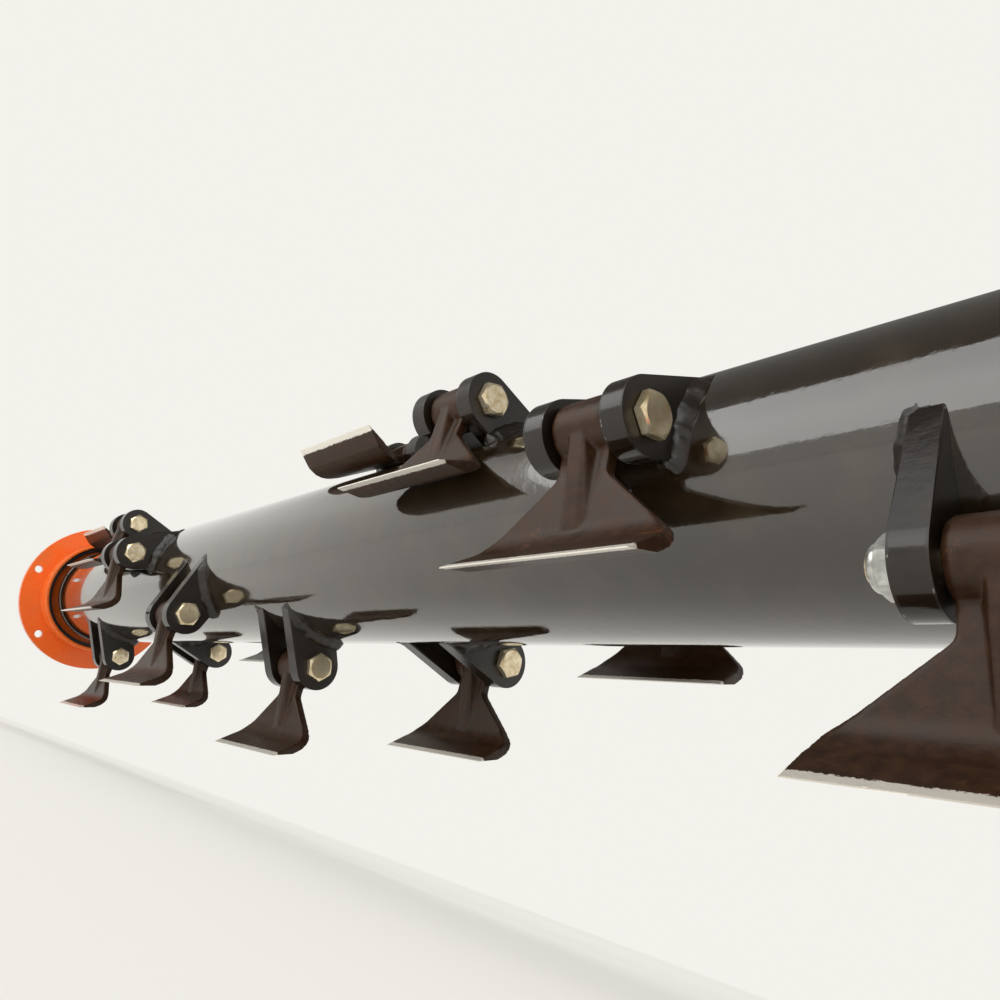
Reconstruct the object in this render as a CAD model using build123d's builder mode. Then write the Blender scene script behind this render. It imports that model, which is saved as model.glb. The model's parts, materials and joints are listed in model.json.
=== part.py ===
"""Flail rotor of a tractor mulcher, with its hammers and both bearing units.

Millimetres. +X runs along the rotor from the plain end to the drive end, the
front is -Y and +Z is up. The origin is on the rotor's axis, at the face where
the plain end's carrier bolts to the side plate of the machine.

An angle round the rotor is counted from the front towards the top, which is
the way that the rotor turns at work.
"""

from build123d import *
from math import atan2, cos, degrees, radians, sin, tan
import os

os.makedirs("parts", exist_ok=True)

# Drum
tube_d = 168.3
tube_wall = 8.0
disc_thickness = 16.0
disc_chamfer = 3.0
hammer_count = 16
hammer_pitch = 93.0
end_margin = 100.0

# Pattern of the pins round the drum: neighbours lie opposite each other, and each
# next pair of neighbours is turned on by the pair step
pin_circle_r = 112.0
first_pin_angle = 83.0
neighbour_turn = 180.0
pair_step = 45.0

# Lugs, which stand in pairs on the drum
lug_thickness = 15.0
lug_end_r = 22.5
lug_foot_back = 8.0
lug_foot_front = 38.0
weld_leg = 8.0

# Hinge bolt and nut
bolt_d = 16.0
head_across_flats = 24.0
head_height = 6.5
nut_height = 13.0
thread_stand_out = 1.5

# Hammer, measured from its pin
hub_d = 36.0
hub_width = 38.0
blade_thickness = 8.0
blade_set_forward = 2.0
blade_straight = 58.5
blade_bend_r = 24.0
blade_bend_angle = 55.0
blade_lip = 24.0
blade_width = 130.0
neck_width = 35.0
flare_start = 31.0
flare_end = 71.0
flare_root_r = 6.0
flare_corner_r = 15.0
bevel_angle = 20.0
bevel_land = 1.0
rib_width = 10.0
rib_flank = 5.0
rib_draft = 35.0
rib_bend_angle = 30.0

# How far a hammer swings back and forward of its outward line
swing_back = 125.0
swing_front = 90.0
front_rest_reach = 60.0

# Stub shafts
shaft_d = 45.0
shoulder_d = 60.0
drive_end_d = 40.0
drive_end_length = 85.0
shaft_end_chamfer = 2.0
stub_flange_d = 124.0
stub_flange_thickness = 15.0
key_width = 12.0
key_length = 63.0
key_depth = 5.0
key_angle = 127.5

# Bearing unit at each end
carrier_d = 270.0
carrier_thickness = 12.0
carrier_hole_d = 96.0
carrier_rim = 15.0
carrier_bolt_count = 6
carrier_bolt_hole_d = 13.5
collar_d = 205.0
collar_wall = 6.0
collar_depth = 45.0
ring_wall = 7.0
ring_depth = 30.0
housing_flange_d = 168.0
housing_flange_thickness = 14.0
housing_boss_d = 108.0
housing_depth = 38.0
housing_draft = 4.0
housing_root = 5.0
housing_bolt_circle = 141.0
housing_bolt_count = 4
housing_bolt_start = 45.0
housing_bolt_d = 12.0
housing_head_across_flats = 18.0
housing_head_height = 7.5
bearing_d = 85.0
bearing_width = 22.0
race_d = 58.0
race_width = 44.0
race_lip = 2.0

# Clearances
seat_gap = 0.3
hole_gap = 0.5
ball_gap = 0.5
race_gap = 0.1
hub_side_gap = 1.5
drum_end_gap = 7.0

# Worked out from the sizes above
tube_r = tube_d / 2
drum_length = (hammer_count - 1) * hammer_pitch + 2 * end_margin
drum_start = collar_depth + drum_end_gap
drum_end = drum_start + drum_length
seat_span = drum_end + drum_end_gap + collar_depth
lug_seat_r = tube_r + seat_gap
lug_gap = hub_width + 2 * hub_side_gap
pack_half = lug_gap / 2 + lug_thickness
pin_hole_d = bolt_d + 2 * hole_gap
carrier_bolt_circle = carrier_d - 2 * carrier_rim
race_start = carrier_thickness + (housing_depth - race_width) / 2
ring_start = carrier_thickness + (housing_depth - bearing_width) / 2
shaft_out = race_start + race_width + race_lip


def half(width: float) -> float:
    """Half of a width."""
    return width / 2


def outward(angle: float, radius: float) -> tuple[float, float]:
    """Y and Z of a point at an angle round the rotor."""
    return (-radius * cos(radians(angle)), radius * sin(radians(angle)))


def turned(angle: float) -> Location:
    """Turn about the rotor's axis that takes the front to an angle."""
    return Location((0, 0, 0), (-angle, 0, 0))


def settled(centre: Vector, pin_angle: float) -> float:
    """Angle between a hammer and its outward line where it comes to rest.

    A hammer hangs with its centre of mass below its pin. Where the drum or a
    lug stops it before that, it lies on its back stop, or on its front one
    where that is within reach.
    """
    lean = degrees(atan2(-centre.Y, -centre.Z))
    free = (-90 - lean - pin_angle + 180) % 360 - 180
    if -swing_back <= free <= swing_front:
        return free
    past_front = (free - swing_front) % 360
    return swing_front if past_front < front_rest_reach else -swing_back


def section_plane(seat_x: float, way: int) -> Plane:
    """Plane through the axis, with x leading outwards from a carrier's seat."""
    return Plane(origin=(seat_x, 0, 0), x_dir=(way, 0, 0), z_dir=(0, -way, 0))


def face_plane(seat_x: float, way: int, out: float) -> Plane:
    """Plane across the axis that faces outwards, a distance out from the seat."""
    return Plane(origin=(seat_x + way * out, 0, 0), x_dir=(0, way, 0), z_dir=(way, 0, 0))


# Place of each hammer along the rotor and round it
hammer_table = [
    # x, angle of the pin
    (
        drum_start + end_margin + number * hammer_pitch,
        first_pin_angle - (number // 2) * pair_step - (number % 2) * neighbour_turn,
    )
    for number in range(hammer_count)
]

# Drum tube
with BuildPart() as drum_tube:
    with BuildSketch(Plane.YZ.offset(drum_start + disc_thickness)):
        Circle(tube_r)
        Circle(tube_r - tube_wall, mode=Mode.SUBTRACT)
    extrude(amount=drum_length - 2 * disc_thickness)
drum_tube.part.label = "drum_tube"
export_step(drum_tube.part, "parts/drum_tube.step")

# Lugs: pairs of plates whose feet follow the drum, each with a weld along its outer side
with BuildPart() as lug_pair:
    with BuildSketch(Plane.YZ.offset(half(lug_gap))):
        with BuildLine():
            CenterArc((-pin_circle_r, 0), lug_end_r, 0, 360)
            Polyline(
                outward(-lug_foot_back, lug_seat_r),
                outward(lug_foot_front, lug_seat_r),
                (-lug_seat_r * cos(radians(lug_foot_front)), 0),
                close=True,
            )
        make_hull()
        Circle(lug_seat_r, mode=Mode.SUBTRACT)
        with Locations((-pin_circle_r, 0)):
            Circle(half(pin_hole_d), mode=Mode.SUBTRACT)
    extrude(amount=lug_thickness)
    # The weld's section, at the back of the foot, is turned round the drum to its front
    with BuildSketch(Plane.XY.rotated((lug_foot_back, 0, 0))):
        with BuildLine():
            Polyline(
                (pack_half, -lug_seat_r),
                (pack_half + weld_leg, -lug_seat_r),
                (pack_half, -lug_seat_r - weld_leg),
                close=True,
            )
        make_face()
    revolve(axis=Axis((0, 0, 0), (-1, 0, 0)), revolution_arc=lug_foot_back + lug_foot_front)
    mirror(about=Plane.YZ)

with BuildPart() as lugs:
    for x, pin_angle in hammer_table:
        with Locations(Pos(x, 0, 0) * turned(pin_angle)):
            add(lug_pair.part)
lugs.part.label = "lugs"
export_step(lugs.part, "parts/lugs.step")

# Hinge bolt and nut on a pin line at the origin, with the head towards the drive end
with BuildPart() as bolt:
    with BuildSketch(Plane.YZ.offset(pack_half)):
        RegularPolygon(half(head_across_flats), 6, major_radius=False)
    extrude(amount=head_height)
    with BuildSketch(Plane.YZ.offset(pack_half)):
        Circle(half(bolt_d))
    extrude(amount=-(2 * pack_half + nut_height + thread_stand_out))

with BuildPart() as nut:
    with BuildSketch(Plane.YZ.offset(-pack_half)):
        RegularPolygon(half(head_across_flats), 6, major_radius=False)
        Circle(half(pin_hole_d), mode=Mode.SUBTRACT)
    extrude(amount=-nut_height)

for name, fastener in (("hinge_bolts", bolt), ("hinge_nuts", nut)):
    with BuildPart() as fasteners:
        for x, pin_angle in hammer_table:
            with Locations(Pos(x, *outward(pin_angle, pin_circle_r)) * turned(pin_angle)):
                add(fastener.part)
    fasteners.part.label = name
    export_step(fasteners.part, f"parts/{name}.step")

# Hammer, hanging from a pin line at the origin with its cutting edge to the front
with BuildPart() as hammer:
    # Blade: a thick plate bent forward near its foot and ground from below to an edge
    with BuildSketch(Plane.YZ.offset(-half(blade_width))):
        bend_centre = Vector(-blade_set_forward - blade_bend_r, -blade_straight)
        with BuildLine():
            Line((-blade_set_forward, 0), (-blade_set_forward, -blade_straight))
            bend = CenterArc(bend_centre, blade_bend_r, 0, -blade_bend_angle)
            lip = Line(bend @ 1, bend @ 1 + (bend % 1) * blade_lip)
        trace(line_width=blade_thickness)
        lip_way = lip % 1
        below = Vector(-lip_way.Y, lip_way.X)
        bevel_height = blade_thickness - bevel_land
        corner = lip @ 1 + below * half(blade_thickness)
        with BuildLine():
            Polyline(
                corner,
                corner - below * bevel_height,
                corner - lip_way * bevel_height / tan(radians(bevel_angle)),
                close=True,
            )
        make_face(mode=Mode.SUBTRACT)
    extrude(amount=blade_width)
    # Outline seen from the front: a neck that flares to the full width, with rounded turns
    with BuildSketch(Plane.XZ):
        foot_z = -(blade_straight + blade_bend_r + blade_thickness + blade_lip)
        with BuildLine():
            FilletPolyline(
                (0, half(hub_d)),
                (half(neck_width), half(hub_d)),
                (half(neck_width), -flare_start),
                (half(blade_width), -flare_end),
                (half(blade_width), foot_z),
                (0, foot_z),
                radius=[0, flare_root_r, flare_corner_r, 0],
            )
            mirror(about=Plane.YZ)
        make_face()
    extrude(amount=blade_width, both=True, mode=Mode.INTERSECT)
    # Rib from the hub down the front of the blade, with sloping sides, fading into the bend
    rib_foot = bend_centre + Vector(blade_bend_r, 0).rotate(Axis.Z, -rib_bend_angle)
    for side in (-1, 1):
        for start, depth, draft in ((0, half(rib_width), 0), (half(rib_width), rib_flank, rib_draft)):
            rib_plane = Plane(origin=(side * start, 0, 0), x_dir=(0, side, 0), z_dir=(side, 0, 0))
            with BuildSketch(rib_plane):
                with BuildLine():
                    Polyline(
                        (-side * blade_set_forward, 0),
                        (-side * half(hub_d), 0),
                        (side * rib_foot.X, rib_foot.Y),
                        close=True,
                    )
                make_face()
            extrude(amount=depth, taper=draft)
    # Hub and its bore
    with BuildSketch(Plane.YZ.offset(-half(hub_width))):
        Circle(half(hub_d))
    extrude(amount=hub_width)
    with BuildSketch(Plane.YZ.offset(-half(hub_width))):
        Circle(half(pin_hole_d))
    extrude(amount=hub_width, mode=Mode.SUBTRACT)

for number, (x, pin_angle) in enumerate(hammer_table, 1):
    rest_angle = pin_angle + settled(hammer.part.center(CenterOf.MASS), pin_angle)
    place = Pos(x, *outward(pin_angle, pin_circle_r)) * turned(rest_angle + 90)
    placed_hammer = place * hammer.part
    placed_hammer.label = f"hammer_{number:02d}"
    export_step(placed_hammer, f"parts/{placed_hammer.label}.step")

end_table = [
    # name, x of the carrier's seat, way outwards, whether it is driven
    ("left", 0.0, -1, False),
    ("right", seat_span, 1, True),
]
disc_face = -(collar_depth + drum_end_gap)

for end, seat_x, way, driven in end_table:
    # End disc, butted against the tube, with a chamfer round its outer face
    with BuildPart() as end_disc:
        with BuildSketch(face_plane(seat_x, way, disc_face)):
            Circle(tube_r)
        extrude(amount=-disc_thickness)
        chamfer(end_disc.edges().sort_by(Axis.X)[-1 if driven else 0], disc_chamfer)
    end_disc.part.label = f"{end}_end_disc"
    export_step(end_disc.part, f"parts/{end_disc.part.label}.step")

    # Stub shaft: a flange on the end disc, a shoulder and the bearing's seat, and past that
    # the driven end with its keyway
    flange_out = disc_face + stub_flange_thickness
    with BuildPart() as stub_shaft:
        with BuildSketch(section_plane(seat_x, way)):
            with BuildLine():
                Polyline(
                    (disc_face, 0),
                    (disc_face, half(stub_flange_d)),
                    (flange_out, half(stub_flange_d)),
                    (flange_out, half(shoulder_d)),
                    (race_start, half(shoulder_d)),
                    (race_start, half(shaft_d)),
                    (shaft_out - shaft_end_chamfer, half(shaft_d)),
                    (shaft_out, half(shaft_d) - shaft_end_chamfer),
                    (shaft_out, 0),
                    close=True,
                )
            make_face()
        revolve(axis=Axis.X)
        if driven:
            with BuildSketch(face_plane(seat_x, way, shaft_out)):
                Circle(half(drive_end_d))
            extrude(amount=drive_end_length)
            chamfer(stub_shaft.edges().sort_by(Axis.X)[-1], shaft_end_chamfer)
            key_plane = Plane.XY.rotated((90 - key_angle, 0, 0)).offset(half(drive_end_d) - key_depth)
            key_x = seat_x + shaft_out + half(drive_end_length)
            with BuildSketch(key_plane):
                with Locations((key_x, 0)):
                    SlotOverall(key_length, key_width)
            extrude(amount=half(drive_end_d), mode=Mode.SUBTRACT)
    stub_shaft.part.label = f"{end}_stub_shaft"
    export_step(stub_shaft.part, f"parts/{stub_shaft.part.label}.step")

    # Inner race of the insert bearing, which turns with the shaft
    with BuildPart() as inner_race:
        with BuildSketch(face_plane(seat_x, way, race_start)):
            Circle(half(race_d))
            Circle(half(shaft_d) + race_gap, mode=Mode.SUBTRACT)
        extrude(amount=race_width)
    inner_race.part.label = f"{end}_inner_race"
    export_step(inner_race.part, f"parts/{inner_race.part.label}.step")

    # Outer race, held in the housing
    with BuildPart() as outer_race:
        with BuildSketch(face_plane(seat_x, way, ring_start)):
            Circle(half(bearing_d))
            Circle(half(race_d) + ball_gap, mode=Mode.SUBTRACT)
        extrude(amount=bearing_width)
    outer_race.part.label = f"{end}_outer_race"
    export_step(outer_race.part, f"parts/{outer_race.part.label}.step")

    # Cast housing: a round flange with a tapered boss
    flange_face = carrier_thickness + housing_flange_thickness
    boss_end = carrier_thickness + housing_depth
    bore_r = half(bearing_d) + seat_gap
    with BuildPart() as housing:
        with BuildSketch(section_plane(seat_x, way)):
            with BuildLine():
                Polyline(
                    (carrier_thickness, bore_r),
                    (carrier_thickness, half(housing_flange_d)),
                    (flange_face, half(housing_flange_d)),
                    (flange_face, half(housing_boss_d) + housing_root),
                    (flange_face + housing_root, half(housing_boss_d)),
                    (boss_end, half(housing_boss_d) - housing_draft),
                    (boss_end, bore_r),
                    close=True,
                )
            make_face()
        revolve(axis=Axis.X)
        with BuildSketch(face_plane(seat_x, way, carrier_thickness)):
            with PolarLocations(half(housing_bolt_circle), housing_bolt_count, housing_bolt_start):
                Circle(half(housing_bolt_d) + hole_gap)
        extrude(amount=housing_flange_thickness, mode=Mode.SUBTRACT)
    housing.part.label = f"{end}_bearing_housing"
    export_step(housing.part, f"parts/{housing.part.label}.step")

    # Bolts that hold the housing on the carrier
    with BuildPart() as housing_bolts:
        with BuildSketch(face_plane(seat_x, way, flange_face)):
            with PolarLocations(half(housing_bolt_circle), housing_bolt_count, housing_bolt_start):
                RegularPolygon(half(housing_head_across_flats), 6, major_radius=False)
        extrude(amount=housing_head_height)
        with BuildSketch(face_plane(seat_x, way, flange_face)):
            with PolarLocations(half(housing_bolt_circle), housing_bolt_count, housing_bolt_start):
                Circle(half(housing_bolt_d))
        extrude(amount=-flange_face)
    housing_bolts.part.label = f"{end}_housing_bolts"
    export_step(housing_bolts.part, f"parts/{housing_bolts.part.label}.step")

    # Round carrier plate, bolted to the machine's side plate by its rim
    with BuildPart() as carrier:
        with BuildSketch(face_plane(seat_x, way, 0)):
            Circle(half(carrier_d))
            Circle(half(carrier_hole_d), mode=Mode.SUBTRACT)
            with PolarLocations(half(carrier_bolt_circle), carrier_bolt_count):
                Circle(half(carrier_bolt_hole_d), mode=Mode.SUBTRACT)
            with PolarLocations(half(housing_bolt_circle), housing_bolt_count, housing_bolt_start):
                Circle(half(housing_bolt_d) + hole_gap, mode=Mode.SUBTRACT)
        extrude(amount=carrier_thickness)
    carrier.part.label = f"{end}_carrier"
    export_step(carrier.part, f"parts/{carrier.part.label}.step")

    # Guard collar, which keeps grass from winding in at the drum's end, and the ring inside it
    ring_table = [
        # name, outer radius, wall, depth
        ("guard_collar", half(collar_d), collar_wall, collar_depth),
        ("seal_ring", half(collar_d) - collar_wall - seat_gap, ring_wall, ring_depth),
    ]
    for name, outer_r, wall, depth in ring_table:
        with BuildPart() as ring:
            with BuildSketch(face_plane(seat_x, way, 0)):
                Circle(outer_r)
                Circle(outer_r - wall, mode=Mode.SUBTRACT)
            extrude(amount=-depth)
        ring.part.label = f"{end}_{name}"
        export_step(ring.part, f"parts/{ring.part.label}.step")
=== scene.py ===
"""Looks of a mulcher's flail rotor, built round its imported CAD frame.

Sizes are in millimetres up to the point where a mesh is made, and every Blender
object is in metres. An angle round the rotor is counted from the front (-Y)
towards the top (+Z), as in the frame.
"""

import json
import logging
import math
from collections.abc import Callable, Sequence
from dataclasses import dataclass, field
from enum import Enum
from functools import partial

import bmesh
import bpy
from bmesh.types import BMEdge, BMesh, BMFace, BMVert
from bpy.types import GeometryNodeTree, Material, NodeSocket, NodeTree, Object
from mathutils import Matrix, Vector, noise

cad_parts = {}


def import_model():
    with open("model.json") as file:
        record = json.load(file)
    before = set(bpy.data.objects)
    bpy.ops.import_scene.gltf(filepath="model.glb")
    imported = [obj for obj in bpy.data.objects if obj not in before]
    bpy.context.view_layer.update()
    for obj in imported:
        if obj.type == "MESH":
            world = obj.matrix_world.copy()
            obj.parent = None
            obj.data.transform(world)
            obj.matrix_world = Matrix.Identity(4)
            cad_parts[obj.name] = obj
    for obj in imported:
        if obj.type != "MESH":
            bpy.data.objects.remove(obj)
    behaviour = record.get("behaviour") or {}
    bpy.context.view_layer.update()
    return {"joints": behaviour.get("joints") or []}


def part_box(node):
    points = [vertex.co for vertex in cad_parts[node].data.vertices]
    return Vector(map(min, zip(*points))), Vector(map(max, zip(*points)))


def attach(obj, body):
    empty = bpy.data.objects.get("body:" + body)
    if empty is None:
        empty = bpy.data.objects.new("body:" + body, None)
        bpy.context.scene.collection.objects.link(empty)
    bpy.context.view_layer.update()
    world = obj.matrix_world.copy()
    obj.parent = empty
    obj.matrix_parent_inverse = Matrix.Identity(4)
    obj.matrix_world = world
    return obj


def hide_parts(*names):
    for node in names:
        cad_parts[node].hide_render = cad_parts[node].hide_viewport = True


log = logging.getLogger("flail_rotor")

MM = 0.001
TINY = 0.0005  # millimetres under which two points of a mesh are one
SHARP = 36.0  # degrees over which an edge stays sharp
FASTENER_SHARP = 28.0
Point2 = tuple[float, float]
Point3 = tuple[float, float, float]
BeadStep = tuple[Vector, Vector, Vector, float]
Inputs = dict[str | int, object]
Outputs = bpy.types.bpy_prop_collection
Add = Callable[..., Outputs]

NOISE, VORONOI = "ShaderNodeTexNoise", "ShaderNodeTexVoronoi"
MATH, VECTOR_MATH = "ShaderNodeMath", "ShaderNodeVectorMath"
RANGE, MIX = "ShaderNodeMapRange", "ShaderNodeMix"
ATTRIBUTE, MAPPING = "ShaderNodeAttribute", "ShaderNodeMapping"
CLOUD_SPAN = {"From Min": 0.3, "From Max": 0.7}  # nearly all of a noise lies in this span


# Nodes and colours


def linear(code: str) -> tuple[float, float, float, float]:
    """Turn an sRGB hex colour into linear values.

    Args:
        code: Six hex digits, such as "d9571c".

    Returns:
        Linear red, green and blue, and an alpha of one.
    """
    parts = [int(code[i : i + 2], 16) / 255 for i in (0, 2, 4)]
    red, green, blue = (c / 12.92 if c <= 0.04045 else ((c + 0.055) / 1.055) ** 2.4 for c in parts)
    return (red, green, blue, 1.0)


def add_node(
    tree: NodeTree, kind: str, inputs: Inputs | None = None, **settings: object
) -> Outputs:
    """Add a node with its settings, and fill or link its inputs.

    Args:
        tree: The tree that gets the node.
        kind: The node's type name.
        inputs: A value or an output socket for each input, by name or index.
        settings: The node's own properties.

    Returns:
        The new node's outputs.
    """
    node = tree.nodes.new(kind)
    for key, value in settings.items():
        setattr(node, key, value)
    for key, value in (inputs or {}).items():
        if isinstance(value, NodeSocket):
            tree.links.new(value, node.inputs[key])
        else:
            node.inputs[key].default_value = value
    return node.outputs


def emptied(tree: NodeTree) -> Add:
    """Clear a new tree, and give the function that adds nodes to it."""
    tree.nodes.clear()
    return partial(add_node, tree)


def every_mm(size: float) -> float:
    """Texture scale at which one feature is about this many millimetres."""
    return 1000.0 / size


def tinted(add: Add, share: NodeSocket, base: NodeSocket | str, over: str) -> NodeSocket:
    """Lay a hex colour over another colour, as far as share says."""
    low = linear(base) if isinstance(base, str) else base
    return add(MIX, {0: share, 6: low, 7: linear(over)}, data_type="RGBA")[2]


def streaks(add: Add, place: NodeSocket, stretch: Point3, size: float, detail: float) -> NodeSocket:
    """Draw noise that is stretched into lines of this many millimetres in width."""
    drawn = add(MAPPING, {"Vector": place, "Scale": stretch})[0]
    return add(NOISE, {"Vector": drawn, "Scale": every_mm(size), "Detail": detail})["Fac"]


# Finishes


@dataclass(frozen=True)
class Finish:
    """A surface finish, which makes one material."""

    name: str

    def begin(self) -> tuple[Material, Add, NodeSocket]:
        """Start an empty material.

        Returns:
            The material, the function that adds its nodes, and the object's coordinates.
        """
        material = bpy.data.materials.new(self.name)
        material.use_nodes = True
        add = emptied(material.node_tree)
        return material, add, add("ShaderNodeTexCoord")["Object"]

    def complete(self, add: Add, inputs: Inputs, height: NodeSocket, depth: float) -> None:
        """Add the shader, its bump and the output.

        Args:
            add: Adds a node to the material.
            inputs: The shader's inputs.
            height: The surface's relief, from 0 to 1.
            depth: The relief's height in millimetres.
        """
        bump = add("ShaderNodeBump", {"Distance": depth * MM, "Height": height})
        shader = add("ShaderNodeBsdfPrincipled", {**inputs, "Normal": bump[0]})
        add("ShaderNodeOutputMaterial", {"Surface": shader[0]})


@dataclass(frozen=True)
class GlossEnamel(Finish):
    """Machinery enamel sprayed over steel.

    It gives the eye a hard shine that orange peel breaks up at its edges, a film
    of dust that dulls it in patches, and dried spots of spattered mud. Where the
    steel was flame cut, drag lines show through on the rims, a little coarser
    than they are, and the paint is chipped along the corners.
    """

    colour: str
    dust_colour: str
    shine: float
    coat: float = 0.0
    peel_mm: float = 3.2
    peel_depth: float = 0.05
    sag_mm: float = 14.0
    film_mm: float = 38.0
    dust: float = 0.3
    mud_colour: str = "6e5d45"
    mud_mm: float = 13.0
    fray_mm: float = 1.4
    drag_mm: float = 1.5
    chip_mm: float = 5.0
    chip_colour: str = "9c948a"
    face_haze: float = 0.22
    flame_cut: bool = False

    def material(self) -> Material:
        """Make the enamel's material.

        Returns:
            The material.
        """
        material, add, place = self.begin()
        peel = add(NOISE, {"Vector": place, "Scale": every_mm(self.peel_mm), "Detail": 1.5})["Fac"]
        sag = add(NOISE, {"Vector": place, "Scale": every_mm(self.sag_mm), "Detail": 1.0})["Fac"]
        relief = add(MATH, {0: sag, 1: 2.2, 2: peel}, operation="MULTIPLY_ADD")[0]
        patch = {"Vector": place, "Scale": every_mm(self.film_mm), "Detail": 6.0, "Roughness": 0.66}
        film = add(NOISE, patch)["Fac"]
        reach = {"Value": film, "From Min": 0.47, "From Max": 0.72, "To Max": self.dust}
        dusty = add(RANGE, reach)[0]
        spot = self.specks(add, place)
        colour = tinted(add, dusty, self.colour, self.dust_colour)
        colour = tinted(add, spot, colour, self.mud_colour)
        rough = add(MATH, {0: dusty, 1: 0.35, 2: self.shine}, operation="MULTIPLY_ADD")[0]
        spotted = {0: spot, 1: 0.5, 2: rough}
        rough = add(MATH, spotted, operation="MULTIPLY_ADD", use_clamp=True)[0]
        bare: float | NodeSocket = 0.0
        if self.flame_cut:
            relief, colour, rough, bare = self.cut_edges(add, place, relief, colour, rough)
        shader = {"Base Color": colour, "Roughness": rough, "Metallic": bare, "IOR": 1.55}
        coat = {"Coat Weight": self.coat, "Coat Roughness": self.shine * 0.5, "Coat IOR": 1.65}
        self.complete(add, {**shader, **coat}, relief, self.peel_depth)
        return material

    def specks(self, add: Add, place: NodeSocket) -> NodeSocket:
        """Scatter a few ragged specks of dried mud, each of its own size.

        Args:
            add: Adds a node to the material.
            place: The object's coordinates.

        Returns:
            How much mud covers a point.
        """
        cells = add(VORONOI, {"Vector": place, "Scale": every_mm(self.mud_mm)})
        chance = add("ShaderNodeSeparateColor", {"Color": cells["Color"]})["Red"]
        few = {"Value": chance, "From Min": 0.72, "From Max": 1.0, "To Min": 0.0, "To Max": 0.075}
        reach = add(RANGE, few)[0]
        fray = add(NOISE, {"Vector": place, "Scale": every_mm(self.fray_mm), "Detail": 3.0})["Fac"]
        reach = add(MATH, {0: reach, 1: fray}, operation="MULTIPLY")[0]
        inside = add(MATH, {0: reach, 1: cells["Distance"]}, operation="SUBTRACT")[0]
        return add(RANGE, {"Value": inside, "From Max": 0.008, "To Max": 0.7})[0]

    def cut_edges(
        self, add: Add, place: NodeSocket, relief: NodeSocket, colour: NodeSocket, rough: NodeSocket
    ) -> tuple[NodeSocket, ...]:
        """Add drag lines across the flame-cut rim, chips along its corners, and haze on the faces.

        Args:
            add: Adds a node to the material.
            place: The object's coordinates.
            relief: The paint's relief.
            colour: The paint's colour.
            rough: The paint's roughness.

        Returns:
            Relief, colour, roughness and metallic with the edges added.
        """
        rim = add(ATTRIBUTE, attribute_name="rim")["Fac"]
        corner = add(ATTRIBUTE, attribute_name="corner")["Fac"]
        lines = streaks(add, place, (0.08, 1.0, 1.0), self.drag_mm, 3.0)
        lines = add(MATH, {0: lines, 1: rim}, operation="MULTIPLY")[0]
        relief = add(MATH, {0: lines, 1: 0.6, 2: relief}, operation="MULTIPLY_ADD")[0]
        chips = add(NOISE, {"Vector": place, "Scale": every_mm(self.chip_mm), "Detail": 5.0})["Fac"]
        worn = add(MATH, {0: chips, 1: corner}, operation="MULTIPLY")[0]
        bare = add(RANGE, {"Value": worn, "From Min": 0.60, "From Max": 0.66})[0]
        colour = tinted(add, bare, colour, self.chip_colour)
        faces = {"Value": rim, "To Min": self.shine + self.face_haze, "To Max": self.shine}
        rough = add(MATH, {0: add(RANGE, faces)[0], 1: rough}, operation="MAXIMUM")[0]
        rough = add(MATH, {0: bare, 1: 0.2, 2: rough}, operation="MULTIPLY_ADD")[0]
        return relief, colour, rough, bare


@dataclass(frozen=True)
class ForgedSkin(Finish):
    """Drop-forged steel with a thin coat of brown-black paint.

    It gives the eye a soft gloss over a slightly lumpy skin, browner where scale
    shows through, a few freckles of rust and dust, and bare metal next to the
    ground edge.
    """

    colour: str = "29190e"
    scale_colour: str = "412915"
    rust_colour: str = "6c4124"
    bare_colour: str = "ddd8cd"
    lump_mm: float = 7.0
    grain_mm: float = 1.1
    rust_patch_mm: float = 24.0
    rust_speck_mm: float = 1.9
    bare_mm: float = 2.5
    relief_depth: float = 0.045

    def material(self) -> Material:
        """Make the forged skin's material.

        Returns:
            The material.
        """
        material, add, place = self.begin()
        lump = {"Vector": place, "Scale": every_mm(self.lump_mm), "Detail": 4.0, "Roughness": 0.6}
        lumps = add(NOISE, lump)["Fac"]
        pores = {"Vector": place, "Scale": every_mm(self.grain_mm), "Detail": 2.0}
        grain = add(NOISE, pores)["Fac"]
        relief = add(MATH, {0: lumps, 1: 3.0, 2: grain}, operation="MULTIPLY_ADD")[0]
        scale = add(RANGE, {"Value": lumps, "From Min": 0.40, "From Max": 0.70, "To Max": 0.6})[0]
        colour = tinted(add, scale, self.colour, self.scale_colour)
        patch = {"Vector": place, "Scale": every_mm(self.rust_patch_mm), "Detail": 2.0}
        patches = add(NOISE, patch)["Fac"]
        speck = {"Scale": every_mm(self.rust_speck_mm), "Detail": 4.0, "Roughness": 0.7}
        fine = add(NOISE, {"Vector": place, **speck})["Fac"]
        both = add(MATH, {0: patches, 1: fine}, operation="MULTIPLY")[0]
        rust = add(RANGE, {"Value": both, "From Min": 0.37, "From Max": 0.43, "To Max": 0.5})[0]
        colour = tinted(add, rust, colour, self.rust_colour)
        edge = add(ATTRIBUTE, attribute_name="edge_mm")["Fac"]
        ragged = add(MATH, {0: fine, 1: -5.0, 2: edge}, operation="MULTIPLY_ADD")[0]
        worn = {"Value": ragged, "From Min": self.bare_mm + 0.6, "From Max": self.bare_mm}
        bare = add(RANGE, worn)[0]
        colour = tinted(add, bare, colour, self.bare_colour)
        metal = add(MATH, {0: bare, 1: 0.45}, operation="MULTIPLY")[0]
        rough = add(RANGE, {"Value": lumps, **CLOUD_SPAN, "To Min": 0.30, "To Max": 0.46})[0]
        shader = {"Base Color": colour, "Roughness": rough, "Metallic": metal, "IOR": 1.36}
        self.complete(add, shader, relief, self.relief_depth)
        return material


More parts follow.
